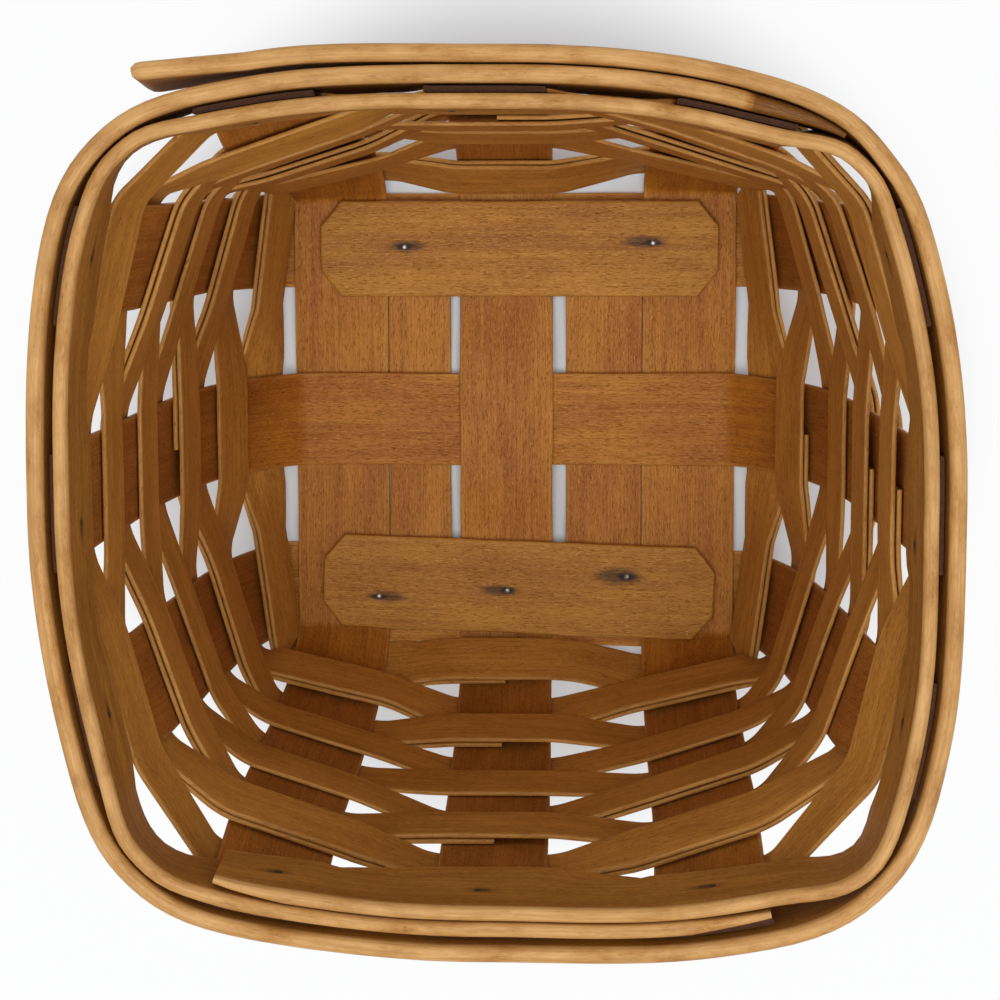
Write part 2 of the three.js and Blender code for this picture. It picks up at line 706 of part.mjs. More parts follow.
// Nails. Each hole is cut a little wider than its nail, through every piece it passes.
function drive(name, from, dir, length, pieces) {
  for (const piece of pieces) {
    const s = shapes.get(piece);
    s.geometry = toGeometry(toSolid(s.geometry).subtract(toSolid(nailHole(from, dir, length))));
  }
  keep(nails, name, nailShape(from, dir, length), nailSteel);
}

// One nail through the rim at each upright end, driven from the inside.
ring.forEach((end, i) => {
  const f = endFrame(end, rimMid);
  const doubled = end.wall === 'front';
  const thick = doubled ? 2 * innerThick + slip : innerThick;
  const face = uprightThick / 2 + slip + thick;
  const from = f.at.clone()
    .addScaledVector(f.across, end.nail)
    .addScaledVector(f.out, cupOf(i)(end.nail) - face - nailHeadThick - nailStand);
  const inBothLayers = end.name === 'back_right' || end.name === 'back_middle';
  const backLayers = inBothLayers ? outerThick + slip : 0;
  const length = nailHeadThick + nailStand + thick + uprightThick + 2 * slip + outerThick + backLayers - nailShort;
  drive('rim_nail_' + end.name, from, f.out.clone(), length, ['rim_band_inner', stripOf(end)[0], 'rim_band_outer']);
});

// Nails of the braces.
const backPieces = (strip) => ['base_brace_back', strip, 'cross_upright_back'];
const frontPieces = (strip) => ['base_brace_front', strip, 'cross_upright_front'];
const braceNails = [
  ['back_left', backPieces('base_filler_left'), fillerLeftX - 3.2, stripPitch - 1.2],
  ['back_right', backPieces('upright_right'), innerEdge + 2, stripPitch - 0.4],
  ['front_left', frontPieces('upright_left'), -innerEdge - 2.2, -stripPitch - 2.3],
  ['front_middle', frontPieces('upright_middle'), midStripX + 0.2, -stripPitch - 1],
  ['front_right', frontPieces('base_filler_right'), fillerRightX + 5.2, -stripPitch + 2],
];
for (const [place, pieces, x, y] of braceNails) {
  const from = V(x, y, braceTop + nailPlay + nailHeadThick);
  drive('brace_nail_' + place, from, V(0, 0, -1), from.z - lowLayer, pieces);
}

for (const [name, s] of shapes) {
  s.geometry.computeVertexNormals();
  const mesh = new THREE.Mesh(s.geometry, s.material);
  mesh.name = name;
  s.group.add(mesh);
}

// The free tail of the rim makes the outer box lopsided, so the whole basket is moved over the origin.
const outerBox = new THREE.Box3().setFromObject(basket);
const middle = outerBox.getCenter(V(0, 0, 0));
basket.position.set(-middle.x, -middle.y, -outerBox.min.z);

export default basket;
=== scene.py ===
import math
import random

import bpy
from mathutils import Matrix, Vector


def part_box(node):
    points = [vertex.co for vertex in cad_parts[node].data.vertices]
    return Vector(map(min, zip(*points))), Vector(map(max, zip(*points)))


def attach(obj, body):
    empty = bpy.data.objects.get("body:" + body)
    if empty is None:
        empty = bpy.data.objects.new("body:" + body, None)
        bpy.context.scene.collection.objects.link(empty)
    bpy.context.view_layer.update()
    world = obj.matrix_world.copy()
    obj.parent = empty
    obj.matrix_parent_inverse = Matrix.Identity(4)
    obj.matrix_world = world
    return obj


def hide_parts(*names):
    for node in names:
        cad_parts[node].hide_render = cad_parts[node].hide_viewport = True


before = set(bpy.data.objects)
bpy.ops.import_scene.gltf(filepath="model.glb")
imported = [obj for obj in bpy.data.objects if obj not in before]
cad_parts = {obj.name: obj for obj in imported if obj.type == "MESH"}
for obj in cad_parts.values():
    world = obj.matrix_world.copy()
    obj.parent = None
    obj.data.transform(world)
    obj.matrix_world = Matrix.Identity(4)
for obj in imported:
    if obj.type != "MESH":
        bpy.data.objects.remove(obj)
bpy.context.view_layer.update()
mm = 0.001  # pieces are worked out in millimetres and written in metres
print("frame loaded:", len(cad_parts), "nodes")


# Small maths

zUp = Vector((0, 0, 1))


def mix(a, b, t):
    return a + (b - a) * t


def clamp(t):
    return min(1.0, max(0.0, t))


def ease(t):
    q = clamp(t)
    return q * q * (3 - 2 * q)


# Splints, base and walls: the sizes the basket is woven to

splint = {
    "uprightWidth": 19.05,
    "uprightThick": 0.95,
    "weaverWidth": 12.2,
    "weaverThick": 0.8,
    "slip": 0.3,  # free space between two splints that lie on each other
    "edgeRound": 0.26,
    "edgeBand": 0.55,  # width of the worn band along an edge
    "uneven": 0.16,  # how far the edges stray
}
base = {
    "pitch": 35.65,  # from the middle of the base to the middle of an outer strip
    "middleX": -1.8,
    "middleY": -1.1,
    "crossEase": 1.2,
    "fillerGap": 0.7,
    "fillerTuck": 3.0,
    "fillerWiden": 0.58,
    "fillerUneven": 0.12,
    "bulge": {"cross_upright_front": -1.6},  # how far a strip bends sideways across the base
    "bulgeEase": 0.22,  # share of the length over which that bend starts and stops
    "flatSteps": 64,
    "slotLeft": 1.9,
    "slotRight": 2.7,
    "bendFade": 0.65,  # share of the base's lighter tone that is left where a strip has bent up
    "fade": 15.0,  # height over which the rest fades up the walls
}
wall = {
    "rows": 9,
    "rowGap": 0.61,
    "firstLift": 1.45,
    "lowGaps": (0.95, 0.15),
    "seat": 2.3,
    "swell": 14.2,
    "swellHeight": 20.6,
    "lean": 0.06,
    "leftLeanMore": 0.0035,
    "backPull": 2.3,
    "backLeanLoss": 0.0135,
    "bowHeight": 28.0,
    "footHeight": 9.0,
    "sideTwist": 19.0,
    "twistHeight": 18.0,
    "twistTurn": 100.0,
    "levelCrowd": 1.25,
    "bendRise": 1.5,
    "fineSteps": (8, 44, 4),  # stations round the bend, up the wall and in the rim
    "coarseSteps": (3, 8, 1),
}
rim = {
    "height": 16.8,
    "innerThick": 2.4,
    "outerThick": 2.8,
    "gap": 2.6,
    "uprightInset": 3.6,
    "innerRound": 1.05,
    "outerRound": 1.2,
    "uneven": 0.1,
    "endSteps": 16,  # stations from one upright end to the next
    "innerPinch": 1.0,  # how far a band draws in to the gap round a corner, between two upright ends
    "outerPinch": 0.1,
    "pinchFrom": 0.12,
    "pinchOver": 0.32,
    "toe": 0.7,  # how far the lower edges of the bands close up between two upright ends
    "innerToe": {"front_right": -0.8, "right_back": 1.3},  # other values for the inner band, after an end
    "cornerToeFrom": 0.16,  # share of the way from end to end where that begins
    "wallToeFrom": 0.235,
    "toeOver": 0.12,
    "toeRest": 0.1,  # free space that the toe leaves between the lower edges
    "lapCorner": "right_back",  # the outer band rises to its lap after this end
    "lapRest": -0.4,  # there the lower edges press on each other
    "cornerLean": 6.5,
    "leanSpread": 2.5,
    "fuller": {"right_back": 0.75, "front_right": 0.3},  # how far the corner after an end bulges out
    "cornerFull": 1.42,
    "lapLead": 1 / 7,
    "lapDown": 0.45,  # how soon the inner band lies on the uprights again after its lap
    "shaved": (0.9, 0.55),  # shares of height and thickness left at the shaved ends of the inner band
    "shavedSteps": 4,
    "lapRun": 0.66,
    "lapCurve": 0.9,
    "tailReach": 17.6,
    "tailLift": 0.6,
    "tailStraight": 0.5,
    "tailLean": 5.0,
    "tailSteps": 20,
    "tailRound": 0.12,  # share of the tail that is rounded off
    "tailTip": (0.88, 0.55),  # shares of height and thickness left at its tip
    "tongueRun": 0.38,  # shaved start of the outer band, in the wedge under its own lap
    "tongueSlip": 0.35,
    "tongueHeight": 0.8,
    "tongueLeast": 0.1,
    # how much painted shade the tongue takes, in the wedge under the lap
    "tonguePaintedShade": 0.8,
    "tongueSteps": 10,
}
seeds = {"uprights": 3, "fillers": 31, "braces": 41, "weavers": 51, "rim": 81}  # a piece takes two numbers

lowLayer = splint["uprightThick"] / 2
highLayer = lowLayer + splint["uprightThick"] + splint["slip"]
topLayer = highLayer + splint["uprightThick"] + splint["slip"]
halfCross = splint["uprightWidth"] / 2
innerEdge = base["pitch"] - halfCross
wallStart = base["pitch"] + halfCross + wall["seat"]
fillerSpan = innerEdge - halfCross - base["fillerGap"]
fillerWidths = {
    "left": fillerSpan + base["middleX"] - base["slotLeft"],
    "right": fillerSpan - base["middleX"] - base["slotRight"],
}
fillerX = {
    side: sign * (innerEdge - base["fillerGap"] - fillerWidths[side] / 2)
    for side, sign in (("left", -1), ("right", 1))
}


def wallSide(out, along, pull=0.0, leanMore=0.0):
    return {"out": Vector(out), "along": Vector(along), "pull": pull, "lean": wall["lean"] + leanMore}


walls = {
    "front": wallSide((0, -1, 0), (1, 0, 0)),
    "right": wallSide((1, 0, 0), (0, 1, 0)),
    "back": wallSide((0, 1, 0), (-1, 0, 0), pull=wall["backPull"], leanMore=-wall["backLeanLoss"]),
    "left": wallSide((-1, 0, 0), (0, -1, 0), leanMore=wall["leftLeanMore"]),
}


def wallReach(side, z):
    swing = wall["swell"] * (1 - math.exp(-z / wall["swellHeight"]))
    return wallStart - side["pull"] + swing + side["lean"] * z


def findRowHeights():
    heights = []
    z = highLayer + splint["uprightThick"] / 2 + wall["firstLift"]
    step = 0.1
    walked = 0.0
    target = splint["weaverWidth"] / 2
    while len(heights) < wall["rows"]:
        walked += math.hypot(wallReach(walls["front"], z + step) - wallReach(walls["front"], z), step)
        z += step
        if walked >= target:
            heights.append(z)
            more = wall["lowGaps"][len(heights) - 1] if len(heights) <= len(wall["lowGaps"]) else 0
            target += splint["weaverWidth"] + wall["rowGap"] + more
    return heights


rowHeights = findRowHeights()
wallTop = rowHeights[-1] + splint["weaverWidth"] / 2
rimBottom = wallTop + rim["gap"]
rimTop = rimBottom + rim["height"]
rimMid = (rimBottom + rimTop) / 2
uprightTop = rimTop - rim["uprightInset"]


# The twelve upright ends, counterclockwise from the front

def uprightEnd(name, side, **shape):
    plain = {"foot": 0.0, "set": 0.0, "hold": 0.0, "rimBow": 0.0}
    return {"name": name, "wall": name.split("_")[0], "side": side, **plain, **shape}


# foot, set, fan: how far an end is drawn in at its foot, set aside and fanned out to the rim
# bow, rimBow: how far it stands in low on the wall and at the rim, which it turns to above hold
ring = [
    uprightEnd("front_middle", 0, mid=base["middleX"], foot=2.2, nail=-1.6),
    uprightEnd("front_right", 1, foot=2.4, fan=-0.6, nail=0.4, bow=5.8, hold=86, rimBow=1.0, rimTurn=8),
    uprightEnd("right_front", -1, set=2.6, fan=-0.9, nail=1.8, bow=7.2, hold=96, rimBow=1.6, rimTurn=9.5),
    uprightEnd("right_middle", 0, mid=base["middleY"], foot=6.2, nail=-5.4),
    uprightEnd("right_back", 1, fan=2.2, nail=2.6, bow=6.0, hold=92, rimBow=4.7, rimTurn=15),
    uprightEnd("back_right", -1, foot=0.2, fan=1.6, nail=3.0, bow=6.0, hold=90, rimBow=4.2, rimTurn=14),
    uprightEnd("back_middle", 0, mid=-base["middleX"], nail=5.2, hold=90, rimBow=0.4),
    uprightEnd("back_left", 1, foot=2.0, fan=1.9, nail=0.8, bow=7.4, hold=90, rimBow=2.1, rimTurn=9),
    uprightEnd("left_back", -1, fan=2.4, nail=-1.5, bow=7.4, hold=92, rimBow=2.5, rimTurn=10.4),
    uprightEnd("left_middle", 0, mid=-base["middleY"], foot=6.2, nail=2.2),
    uprightEnd("left_front", 1, set=0.8, fan=-0.4, nail=-0.8, bow=6.8, hold=95, rimBow=4.05, rimTurn=12),
    uprightEnd("front_left", -1, foot=4.6, fan=3.6, nail=2.3, bow=7.1, hold=86, rimBow=3.4, rimTurn=10),
]
endCount = len(ring)
placeOf = {end["name"]: i for i, end in enumerate(ring)}


def endAt(i):
    return ring[i % endCount]


def rimShare(z, turn):
    return ease((z - turn) / (rimBottom - turn))


def linePoint(end, z):
    side = walls[end["wall"]]
    h = max(0.0, z)
    standBack = end["rimBow"] * rimShare(h, end["hold"])
    lateral = end.get("mid", 0.0)
    if end["side"]:
        low = end["bow"] * (1 - math.exp(-h / wall["bowHeight"]))
        standBack = mix(low, end["rimBow"], rimShare(h, end["hold"]))
        lateral = end["side"] * (base["pitch"] + end["set"] + end["fan"] * h / rimTop)
    pulledIn = end["foot"] * math.exp(-h / wall["footHeight"])
    place = side["along"] * lateral + side["out"] * (wallReach(side, z) - standBack - pulledIn)
    place.z = z
    return place


def endFrame(end, z):
    side = walls[end["wall"]]
    turn = 0.0
    if end["side"]:
        twist = wall["sideTwist"] * (1 - math.exp(-z / wall["twistHeight"]))
        turn = math.radians(mix(twist, end["rimTurn"], rimShare(z, wall["twistTurn"])) * end["side"])
    across = side["along"] * math.cos(turn) - side["out"] * math.sin(turn)
    probe = 0.2
    up = (linePoint(end, z + probe) - linePoint(end, z - probe)).normalized()
    return {"at": linePoint(end, z), "across": across, "up": up, "out": across.cross(up).normalized()}


# The rim line: one smooth closed curve through the upright ends at the middle of the rim

rimFrames = [endFrame(end, rimMid) for end in ring]


def bendAt(p0, d0, p1, d1, t):
    least = 0.01
    phi = max(least, d0.angle(d1))
    pull = (p1 - p0).length * 2 * math.tan(phi / 4) / math.sin(phi / 2)
    pull *= mix(1, rim["cornerFull"], ease(phi))
    at = p0 * (2 * t**3 - 3 * t**2 + 1) + d0 * ((t**3 - 2 * t**2 + t) * pull)
    return at + p1 * (-2 * t**3 + 3 * t**2) + d1 * ((t**3 - t**2) * pull)


def rimLine(i, t):
    a, b = rimFrames[i % endCount], rimFrames[(i + 1) % endCount]
    bulge = rim["fuller"].get(endAt(i)["name"], 0) * math.sin(math.pi * t) ** 2
    at = bendAt(a["at"], a["across"], b["at"], b["across"], t)
    return at + (a["out"] + b["out"]).normalized() * bulge


def outerRise(where):  # how far the outer band stands off its own start
    lapStart = placeOf["back_right"] + endCount
    risen = ease((where - lapStart) / rim["lapRun"] + 1) ** rim["lapCurve"]
    return (rim["outerThick"] + splint["slip"]) * risen


def rimPlace(where):
    i = math.floor(where)
    t = where - i
    a, b = rimFrames[i % endCount], rimFrames[(i + 1) % endCount]
    probe = 0.01
    run = (rimLine(i, t + probe) - rimLine(i, t - probe)).normalized()
    up = a["up"].lerp(b["up"], t)
    up = (up - run * run.dot(up)).normalized()
    out = run.cross(up)
    lean = math.radians(rim["cornerLean"]) * abs(2 * run.x * run.y) ** rim["leanSpread"]
    corner = endAt(i)["wall"] != endAt(i + 1)["wall"]
    near = min(t, 1 - t)
    pinch = ease((near - rim["pinchFrom"]) / rim["pinchOver"]) if corner else 0.0
    name = endAt(i)["name"]
    lapping = name == rim["lapCorner"]
    rise = outerRise(i % endCount + t + endCount) if lapping else 0.0
    rest = rim["lapRest"] if lapping else rim["toeRest"]
    free = splint["uprightThick"] + 2 * splint["slip"] + rise
    free -= pinch * (rim["innerPinch"] + rim["outerPinch"])
    innerToe, outerToe = rim["innerToe"].get(name, rim["toe"]), rim["toe"]
    closing = clamp((free - rest) / max(innerToe + outerToe, rim["toeRest"]))
    closing *= ease((near - rim["cornerToeFrom" if corner else "wallToeFrom"]) / rim["toeOver"])
    return {
        "at": rimLine(i, t),
        "lean": lean,
        "pinch": pinch,
        "innerToe": innerToe * closing,
        "outerToe": -outerToe * closing,
        "u": up * math.cos(lean) - out * math.sin(lean),
        "n": out * math.cos(lean) + up * math.sin(lean),
    }


def cupOf(i):  # how far the rim line leaves the flat of an upright end
    f = rimFrames[i]
    samples = 80
    sides = []
    for s in (-1, 1):
        line = []
        for k in range(samples):
            r = rimPlace(i + s * k / samples)
            off = r["at"] - f["at"]
            line.append((off.dot(f["across"]) * s, off.dot(f["out"]), r["lean"]))
        sides.append(line)

    def cup(a, h=0.0):
        line = sides[0 if a < 0 else 1]
        d = abs(a)
        k = max(1, next((n for n, p in enumerate(line) if p[0] >= d), 1))
        p, q = line[k - 1], line[k]
        t = (d - p[0]) / (q[0] - p[0])
        return mix(p[1], q[1], t) - h * math.tan(mix(p[2], q[2], t))

    return cup


cups = [cupOf(i) for i in range(endCount)]


# Curves that the strips follow

# A station of a strip: u points across it and n out of its face, wide and thick are shares of its size,
# cup bends it, floor is its share of the base's tone, and dark is how much painted shade it takes
def station(at, u, n, wide=1.0, thick=1.0, cup=None, floor=0.0, dark=0.0):
    return {"at": at, "u": u, "n": n, "wide": wide, "thick": thick, "cup": cup, "floor": floor, "dark": dark}


def cupped(i, z, share):
    return lambda a: share * cups[i](a, z - rimMid)


def wallStations(i, start, bendSteps, levels, rimSteps):
    end = ring[i]
    first = start + wall["bendRise"]
    foot = endFrame(end, first)
    side = walls[end["wall"]]
    slope = foot["up"] * ((foot["at"].z - start) / foot["up"].z)
    corner = foot["at"] - slope
    begin = corner - side["out"] * slope.length
    begin += side["along"] * (linePoint(end, 0).dot(side["along"]) - begin.dot(side["along"]))
    stations = []
    for k in range(bendSteps):
        t = k / bendSteps
        at = begin * (1 - t) ** 2 + corner * (2 * t * (1 - t)) + foot["at"] * t * t
        across = side["along"].lerp(foot["across"], t * t).normalized()
        run = ((corner - begin) * (1 - t) + (foot["at"] - corner) * t).normalized()
        out = across.cross(run).normalized()
        stations.append(station(at, across, out, floor=mix(1, base["bendFade"], t)))
    for k in range(levels + 1):
        z = mix(first, wallTop, (k / levels) ** wall["levelCrowd"])
        f = endFrame(end, z)
        left = base["bendFade"] * (1 - ease((z - first) / base["fade"]))
        stations.append(station(f["at"], f["across"], f["out"], floor=left))
    for low, high, inGroove in ((wallTop, rimBottom, False), (rimBottom, uprightTop, True)):
        for k in range(1, rimSteps + 1):
            share = k / rimSteps
            z = mix(low, high, share)
            f = endFrame(end, z)
            cup = cupped(i, z, 1 if inGroove else share)
            # painted shade on the upright end in the groove between the bands, full at its top end
            dark = share if inGroove else 0.0
            stations.append(station(f["at"], f["across"], f["out"], cup=cup, dark=dark))
    return stations


# Sections: places across and through the strip, each with how worn it is

def roundedSection(width, thick, radius, faceSteps, wearHigh=1.0, wearLow=1.0, cornerSteps=2):
    w, t = width / 2 - radius, thick / 2 - radius
    inner = width / 2 - radius - splint["edgeBand"]
    points = []
    for cx, cy, begin in ((w, -t, -90), (w, t, 0), (-w, t, 90), (-w, -t, 180)):
        wear = wearHigh if cx > 0 else wearLow
        for k in range(cornerSteps + 1):
            a = math.radians(begin + 90 * k / cornerSteps)
            points.append((cx + radius * math.cos(a), cy + radius * math.sin(a), wear))
        if begin in (0, 180):
            sign = 1 if begin == 0 else -1
            face = cy + math.copysign(radius, cy)
            for k in range(faceSteps + 1):
                points.append((sign * mix(inner, -inner, k / faceSteps), face, 0.0))
    return points


edgeWaves = {"count": 5, "pace": (0.03, 0.3), "phase": (0, 6.28), "height": (0.3, 1.0)}


def wobble(seed, size):
    rng = random.Random(seed)
    waves = [
        [rng.uniform(*edgeWaves[part]) for part in ("pace", "phase", "height")]
        for _ in range(edgeWaves["count"])
    ]
    scale = size / sum(w[2] for w in waves)
    return lambda s: scale * sum(a * math.sin(f * s + p) for f, p, a in waves)


# Closed meshes with their own grain coordinates in millimetres

sharpAngle = 45
grainAlong = 173.0  # what sets the grain of one piece apart from the next
grainAcross = 41.0


def solidMesh(name, verts, faces, grain=(), wear=(), floor=()):
    mesh = bpy.data.meshes.new(name)
    mesh.from_pydata(verts, [], faces)
    mesh.update()
    inside = mesh.vertices[0].co
    if sum(p.area * p.normal.dot(p.center - inside) for p in mesh.polygons) < 0:
        mesh.flip_normals()
    if grain:
        mesh.attributes.new("grain", "FLOAT_VECTOR", "POINT").data.foreach_set("vector", grain)
        mesh.attributes.new("edgeWearAndPaintedShade", "FLOAT", "POINT").data.foreach_set("value", wear)
        mesh.attributes.new("floorShare", "FLOAT", "POINT").data.foreach_set("value", floor)
    for polygon in mesh.polygons:
        polygon.use_smooth = True
    mesh.set_sharp_from_angle(angle=math.radians(sharpAngle))
    return mesh


def ringFaces(rings, n):  # sides between rings of n points, and a cap at both ends
    faces = [tuple(reversed(range(n)))]
    for i in range(rings - 1):
        for k in range(n):
            a, b = i * n + k, i * n + (k + 1) % n
            faces.append((a, b, b + n, a + n))
    faces.append(tuple(range((rings - 1) * n, rings * n)))
    return faces


def sweepMesh(name, stations, section, seed, uneven=0.0):
    leftEdge, rightEdge = wobble(seed, uneven), wobble(seed + 1, uneven)
    widest = max(p[0] for p in section)
    verts, grain, wear, floor = [], [], [], []
    walked = 0.0
    for i, s in enumerate(stations):
        if i:
            walked += (s["at"] - stations[i - 1]["at"]).length
        s["walked"] = walked
        left, right = leftEdge(walked), rightEdge(walked)
        for a, b, worn in section:
            moved = a + (right if a > 0 else left) * abs(a) / widest
            through = b * s["thick"] + (s["cup"](a) if s["cup"] else 0)
            verts.append((s["at"] + s["u"] * (moved * s["wide"]) + s["n"] * through + shift) * mm)
            grain.extend((walked + grainAlong * seed, a + grainAcross * seed, b))
            # edge wear; a dark station turns it below zero, which carries painted shade
            wear.append(worn * (1 - s["dark"]) - s["dark"])
            floor.append(s["floor"])
    return solidMesh(name, verts, ringFaces(len(stations), len(section)), grain, wear, floor)


def place(name, mesh, material, slot, *nodes):
    piece = bpy.data.objects.new(name, mesh)
    bpy.context.scene.collection.objects.link(piece)
    mesh.materials.append(material)
    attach(piece, "root")
    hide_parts(*nodes)


# Shader building

def wireMath(operation, swapped=False):
    def method(wire, other):
        return wire.shade.math(operation, *((other, wire) if swapped else (wire, other)))
    return method


class Wire:
    def __init__(self, shade, socket):
        self.shade = shade
        self.socket = socket

    __add__ = wireMath("ADD")
    __radd__ = wireMath("ADD", swapped=True)
    __sub__ = wireMath("SUBTRACT")
    __rsub__ = wireMath("SUBTRACT", swapped=True)
    __mul__ = wireMath("MULTIPLY")
    __truediv__ = wireMath("DIVIDE")
    __pow__ = wireMath("POWER")
    most = wireMath("MAXIMUM")


class Shade:
    def __init__(self, name):
        self.material = bpy.data.materials.new(name)
        self.material.use_nodes = True
        self.tree = self.material.node_tree
        self.bsdf = self.tree.nodes["Principled BSDF"]

    def node(self, kind, settings=None, inputs=None, output=0):
        made = self.tree.nodes.new(kind)
        for key, value in (settings or {}).items():
            setattr(made, key, value)
        for key, value in (inputs or {}).items():
            self.join(made.inputs[key], value)
        return Wire(self, made.outputs[output])

    def join(self, socket, value):
        if isinstance(value, Wire):
            self.tree.links.new(value.socket, socket)
        elif isinstance(value, tuple) and len(value) == 3 and socket.type == "RGBA":
            socket.default_value = (*value, 1)
        else:
            socket.default_value = value

    def math(self, operation, a, b):
        return self.node("ShaderNodeMath", {"operation": operation}, {0: a, 1: b})

    def ramp(self, value, low, high):  # 0 below low, 1 above high, smooth between
        settings = {"interpolation_type": "SMOOTHSTEP"}
        inputs = {"Value": value, "From Min": low, "From Max": high}
        return self.node("ShaderNodeMapRange", settings, inputs)

    def blend(self, factor, a, b):
        return self.node("ShaderNodeMix", {"data_type": "RGBA"}, {0: factor, 6: a, 7: b}, 2)

    def attribute(self, name, output="Fac"):
        return self.node("ShaderNodeAttribute", {"attribute_name": name}, {}, output)

    def noise(self, at, scale, detail=2.0, rough=0.5, warp=0.0):
        stretched = self.node("ShaderNodeVectorMath", {"operation": "MULTIPLY"}, {0: at, 1: scale})
        inputs = {"Vector": stretched, "Scale": 1.0, "Detail": detail}
        return self.node("ShaderNodeTexNoise", {}, {**inputs, "Roughness": rough, "Distortion": warp})

    def finish(self, **sockets):
        for key, value in sockets.items():
            self.join(self.bsdf.inputs[key.replace("_", " ")], value)
        return self.material


def rgb(hexCode):  # colour as seen, to the linear values that shaders take
    parts = [int(hexCode[i:i + 2], 16) / 255 for i in (0, 2, 4)]
    return tuple(p / 12.92 if p <= 0.04045 else ((p + 0.055) / 1.055) ** 2.4 for p in parts)


# Stained splint wood: grain along the strip, short dark pores, pale flecks, worn edges, nail stains, and
# painted shade in the rim's groove and under the outer band's lap

def toneSet(**hexCodes):
    return {tone: rgb(code) for tone, code in hexCodes.items()}


baseTones = toneSet(
    dark="aa6318", light="cf8a2c", deep="874909", pale="dda44a",
    pore="5b2e0a", worn="d69c48", wornDeep="b07630",
)
braceTones = toneSet(
    dark="a96a20", light="cd9033", deep="875112", pale="dfae58",
    pore="613812", worn="d6a04e", wornDeep="b47e38",
)
wallTones = toneSet(
    dark="af732a", light="d0923f", deep="8b5416", pale="d9a55a",
    pore="5e320b", worn="d8aa64", wornDeep="b88646",
)
# darker than the base's tones, which they take over from up the walls: painted shade for the recesses where
# the uprights lie behind the weavers
uprightTones = toneSet(
    dark="935316", light="b26e27", deep="703a09", pale="c48c46",
    pore="502807", worn="c89656", wornDeep="a67438",
)
rimTones = toneSet(
    dark="97601f", light="b87c30", deep="75430f", pale="c49252",
    pore="563009", worn="d2a468", wornDeep="b48449",
)
paintedShade = {"tone": rgb("361600"), "share": 0.85}  # painted shade on the upright ends in the groove of the rim and on the shaved tongue under the outer band's lap
splintFinish = {
    "fibre": 0.4, "flecks": 0.65, "pores": 0.58, "wear": 0.5,
    "rough": 0.56, "fibreRough": 0.16, "poreRough": 0.1, "wornSmooth": 0.06,
    "bump": 0.5, "bumpDepth": 0.0001, "fibreHigh": 0.5, "poreDeep": 0.8, "streakHigh": 0.35, "gloss": 0.3,
}
weaverFinish = dict(splintFinish, wear=0.4)
braceFinish = dict(splintFinish, fibre=0.25)
rimFinish = dict(splintFinish, wear=0.95, fibre=0.5)
grainFields = {  # waves for each millimetre along the strip, across it and through it
    "broad": {"scale": (0.022, 0.09, 0.05), "detail": 3.0},
    "streak": {"scale": (0.012, 0.75, 0.4), "detail": 4.0, "rough": 0.6, "warp": 0.3},
    "fibre": {"scale": (0.05, 3.2, 2.0), "detail": 3.0, "rough": 0.65},
    "pores": {"scale": (0.75, 5.6, 3.6), "rough": 0.6},
    "flecks": {"scale": (0.85, 6.2, 4.0), "rough": 0.55},
    "mottle": {"scale": (0.11, 0.36, 0.3), "detail": 3.0, "rough": 0.6},
}
toneShares = {"broad": 0.45, "streak": 0.3, "mottle": 0.25}
grainLimits = {
    "tone": (0.36, 0.64), "fibre": (0.35, 0.7), "flecks": (0.57, 0.7),
    "pores": (0.56, 0.68), "worn": (0.35, 0.95),
}
wornFibre = 0.5  # how much the fibres break up the worn edges
stain = {
    "halo": rgb("43301e"), "haloShare": 0.8, "haloFrom": 0.02,
    "core": rgb("1d1612"), "coreShare": 0.95, "coreFrom": 0.05, "coreLong": 0.4, "coreWide": 0.6,
    "streakRagged": 1.6, "fibreRagged": 0.8,
}


def toned(shade, tones, finish, fields):
    colour = shade.blend(fields["tone"], tones["dark"], tones["light"])
    colour = shade.blend(fields["fibre"] * finish["fibre"], colour, tones["deep"])
    colour = shade.blend(fields["flecks"] * finish["flecks"], colour, tones["pale"])
    colour = shade.blend(fields["pores"] * finish["pores"], colour, tones["pore"])
    bare = shade.blend(fields["fibre"], tones["worn"], tones["wornDeep"])
    return shade.blend(fields["worn"] * finish["wear"], colour, bare)


def stained(shade, colour, at, noise, stains):
    along, across = (shade.node("ShaderNodeSeparateXYZ", {}, {"Vector": at}, axis) for axis in ("X", "Y"))
    ragged = (noise["streak"] - 0.5) * stain["streakRagged"] + (noise["fibre"] - 0.5) * stain["fibreRagged"]
    for spot, sideways, long, wide, ahead, strength in stains:
        high = across - sideways
        spread = ((along - (spot + ahead)) / long) ** 2.0 + (high / wide + ragged) ** 2.0
        coreLong, coreWide = stain["coreLong"] * long, stain["coreWide"] * wide
        close = ((along - spot) / coreLong) ** 2.0 + (high / coreWide + ragged * stain["coreWide"]) ** 2.0
        halo = 1.0 - shade.ramp(spread, stain["haloFrom"], 1.0)
        core = 1.0 - shade.ramp(close, stain["coreFrom"], 1.0)
        colour = shade.blend(halo * (stain["haloShare"] * strength), colour, stain["halo"])
        colour = shade.blend(core * (stain["coreShare"] * strength), colour, stain["core"])
    return colour


